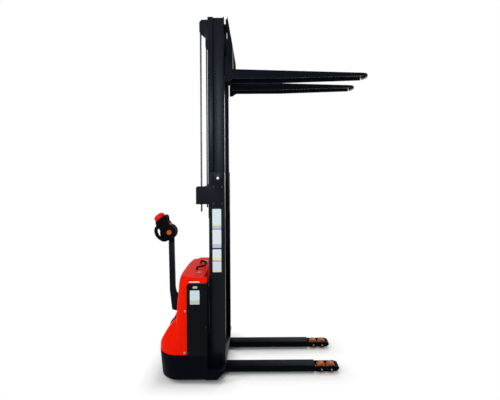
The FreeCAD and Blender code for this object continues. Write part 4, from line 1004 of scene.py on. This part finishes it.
view = {"place": (-0.0145, -3.14, 1.706), "roll": -0.34, "lens": 24.54, "shiftX": -0.011, "shiftY": -0.0538}
stage = {"floorSize": 60.0, "floorColour": "#f4f4f4", "backgroundStrength": 1.0, "ambient": 0.44,
         "tub": ((-0.55, 0.0, 0.0), (0.27, 0.37, 0.0)), "leg": ((0.13, 0.205, 0.0), (0.55, 0.045, 0.0)),
         "whiteShare": 0.0, "fadeStart": 0.0, "fadeEnd": 0.17}
lamps = {
    "keyBox": {"place": (-0.8, -4.4, 2.8), "aim": (-0.3, 0.0, 1.6), "size": (1.3, 0.9), "power": 70.0},
    "leftBox": {"place": (-3.6, -1.8, 3.4), "aim": (-0.4, 0.0, 1.0), "size": (1.6, 2.2), "power": 76.0},
    "topBox": {"place": (0.6, 0.6, 5.2), "aim": (0.0, 0.0, 0.5), "size": (2.5, 2.5), "power": 95.0},
    "backBox": {"place": (1.6, 4.0, 2.6), "aim": (0.0, 0.0, 1.2), "size": (2.0, 2.0), "power": 52.0},
}


def seenPlainly(tree):
    # One for rays that see a surface straight, in a reflection or through glass, and none for its light
    rays = addNode(tree, "LightPath").outputs
    seen = addNode(tree, "Math", settings={"operation": "MAXIMUM"},
                   links={0: rays["Is Camera Ray"], 1: rays["Is Glossy Ray"]})
    seen = addNode(tree, "Math", settings={"operation": "MAXIMUM"},
                   links={0: seen.outputs[0], 1: rays["Is Transmission Ray"]})
    return seen.outputs[0]


def awayFrom(tree, spot, middle, half):
    # How far a spot on the floor is from a rectangle
    moved = addNode(tree, "VectorMath", settings={"operation": "SUBTRACT"}, values={1: middle},
                    links={0: spot})
    folded = addNode(tree, "VectorMath", settings={"operation": "ABSOLUTE"}, links={0: moved.outputs[0]})
    past = addNode(tree, "VectorMath", settings={"operation": "SUBTRACT"}, values={1: half},
                   links={0: folded.outputs[0]})
    outside = addNode(tree, "VectorMath", settings={"operation": "MAXIMUM"}, values={1: (0.0, 0.0, 0.0)},
                      links={0: past.outputs[0]})
    length = addNode(tree, "VectorMath", settings={"operation": "LENGTH"}, links={0: outside.outputs[0]})
    return length.outputs["Value"]


def makeFloor():
    # Pale matt floor; what the camera and reflections see of it is mostly plain white, with the shadow kept
    bpy.ops.object.select_all(action="DESELECT")
    bpy.ops.mesh.primitive_plane_add(size=stage["floorSize"], location=(0, 0, 0))
    floor = bpy.context.object
    floor.name = "studio_floor"
    material = bpy.data.materials.new("paleStudioFloor")
    material.use_nodes = True
    tree = material.node_tree
    tree.nodes.clear()
    # Under the truck the floor keeps its shadow; further from its outline it runs into the white backdrop
    spot = addNode(tree, "TexCoord").outputs["Object"]
    folded = addNode(tree, "VectorMath", settings={"operation": "ABSOLUTE"}, links={0: spot})
    across = addNode(tree, "SeparateXYZ", links={"Vector": folded.outputs[0]}).outputs["Y"]
    along = addNode(tree, "SeparateXYZ", links={"Vector": spot}).outputs["X"]
    onOneSide = addNode(tree, "CombineXYZ", links={"X": along, "Y": across}).outputs["Vector"]
    distance = addNode(tree, "Math", settings={"operation": "MINIMUM"},
                       links={0: awayFrom(tree, onOneSide, *stage["tub"]),
                              1: awayFrom(tree, onOneSide, *stage["leg"])})
    fade = addNode(tree, "MapRange", values={"From Min": stage["fadeStart"], "From Max": stage["fadeEnd"],
                                             "To Min": stage["whiteShare"], "To Max": 1.0},
                   links={"Value": distance.outputs[0]})
    share = addNode(tree, "Math", settings={"operation": "MULTIPLY"},
                    links={0: seenPlainly(tree), 1: fade.outputs["Result"]})
    matt = addNode(tree, "BsdfDiffuse", values={"Color": linearColour(stage["floorColour"])})
    glow = addNode(tree, "Emission", values={"Color": (1, 1, 1, 1), "Strength": stage["backgroundStrength"]})
    mixed = addNode(tree, "MixShader", links={0: share.outputs[0], 1: matt.outputs[0], 2: glow.outputs[0]})
    addNode(tree, "OutputMaterial", links={"Surface": mixed.outputs[0]})
    floor.data.materials.append(material)


def makeBackdrop():
    # Soft light all round, which the camera and reflections see as plain white
    world = bpy.data.worlds.new("paleStudio")
    bpy.context.scene.world = world
    world.use_nodes = True
    tree = world.node_tree
    tree.nodes.clear()
    light = addNode(tree, "Background", values={"Color": (1, 1, 1, 1), "Strength": stage["ambient"]})
    white = addNode(tree, "Background",
                    values={"Color": (1, 1, 1, 1), "Strength": stage["backgroundStrength"]})
    mixed = addNode(tree, "MixShader",
                    links={0: seenPlainly(tree), 1: light.outputs[0], 2: white.outputs[0]})
    addNode(tree, "OutputWorld", links={"Surface": mixed.outputs[0]})


def makeLamps():
    for name, lamp in lamps.items():
        data = bpy.data.lights.new(name, "AREA")
        data.shape = "RECTANGLE"
        data.size, data.size_y = lamp["size"]
        data.energy = lamp["power"]
        lampObject = bpy.data.objects.new(name, data)
        lampObject.location = lamp["place"]
        aim = Vector(lamp["aim"]) - Vector(lamp["place"])
        lampObject.rotation_euler = aim.to_track_quat("-Z", "Y").to_euler()
        bpy.context.scene.collection.objects.link(lampObject)


def makeCamera():
    data = bpy.data.cameras.new("photographer")
    data.lens = view["lens"]
    data.sensor_width = 36.0
    data.shift_x = view["shiftX"]
    data.shift_y = view["shiftY"]
    photographer = bpy.data.objects.new("photographer", data)
    photographer.location = view["place"]
    level = Matrix.Rotation(math.radians(90), 4, "X")
    rolled = Matrix.Rotation(math.radians(view["roll"]), 4, "Z")
    photographer.rotation_euler = (level @ rolled).to_euler()
    bpy.context.scene.collection.objects.link(photographer)
    bpy.context.scene.camera = photographer


makeFloor()
makeBackdrop()
makeLamps()
makeCamera()
bpy.context.scene.view_settings.view_transform = "Standard"
print("stage set")
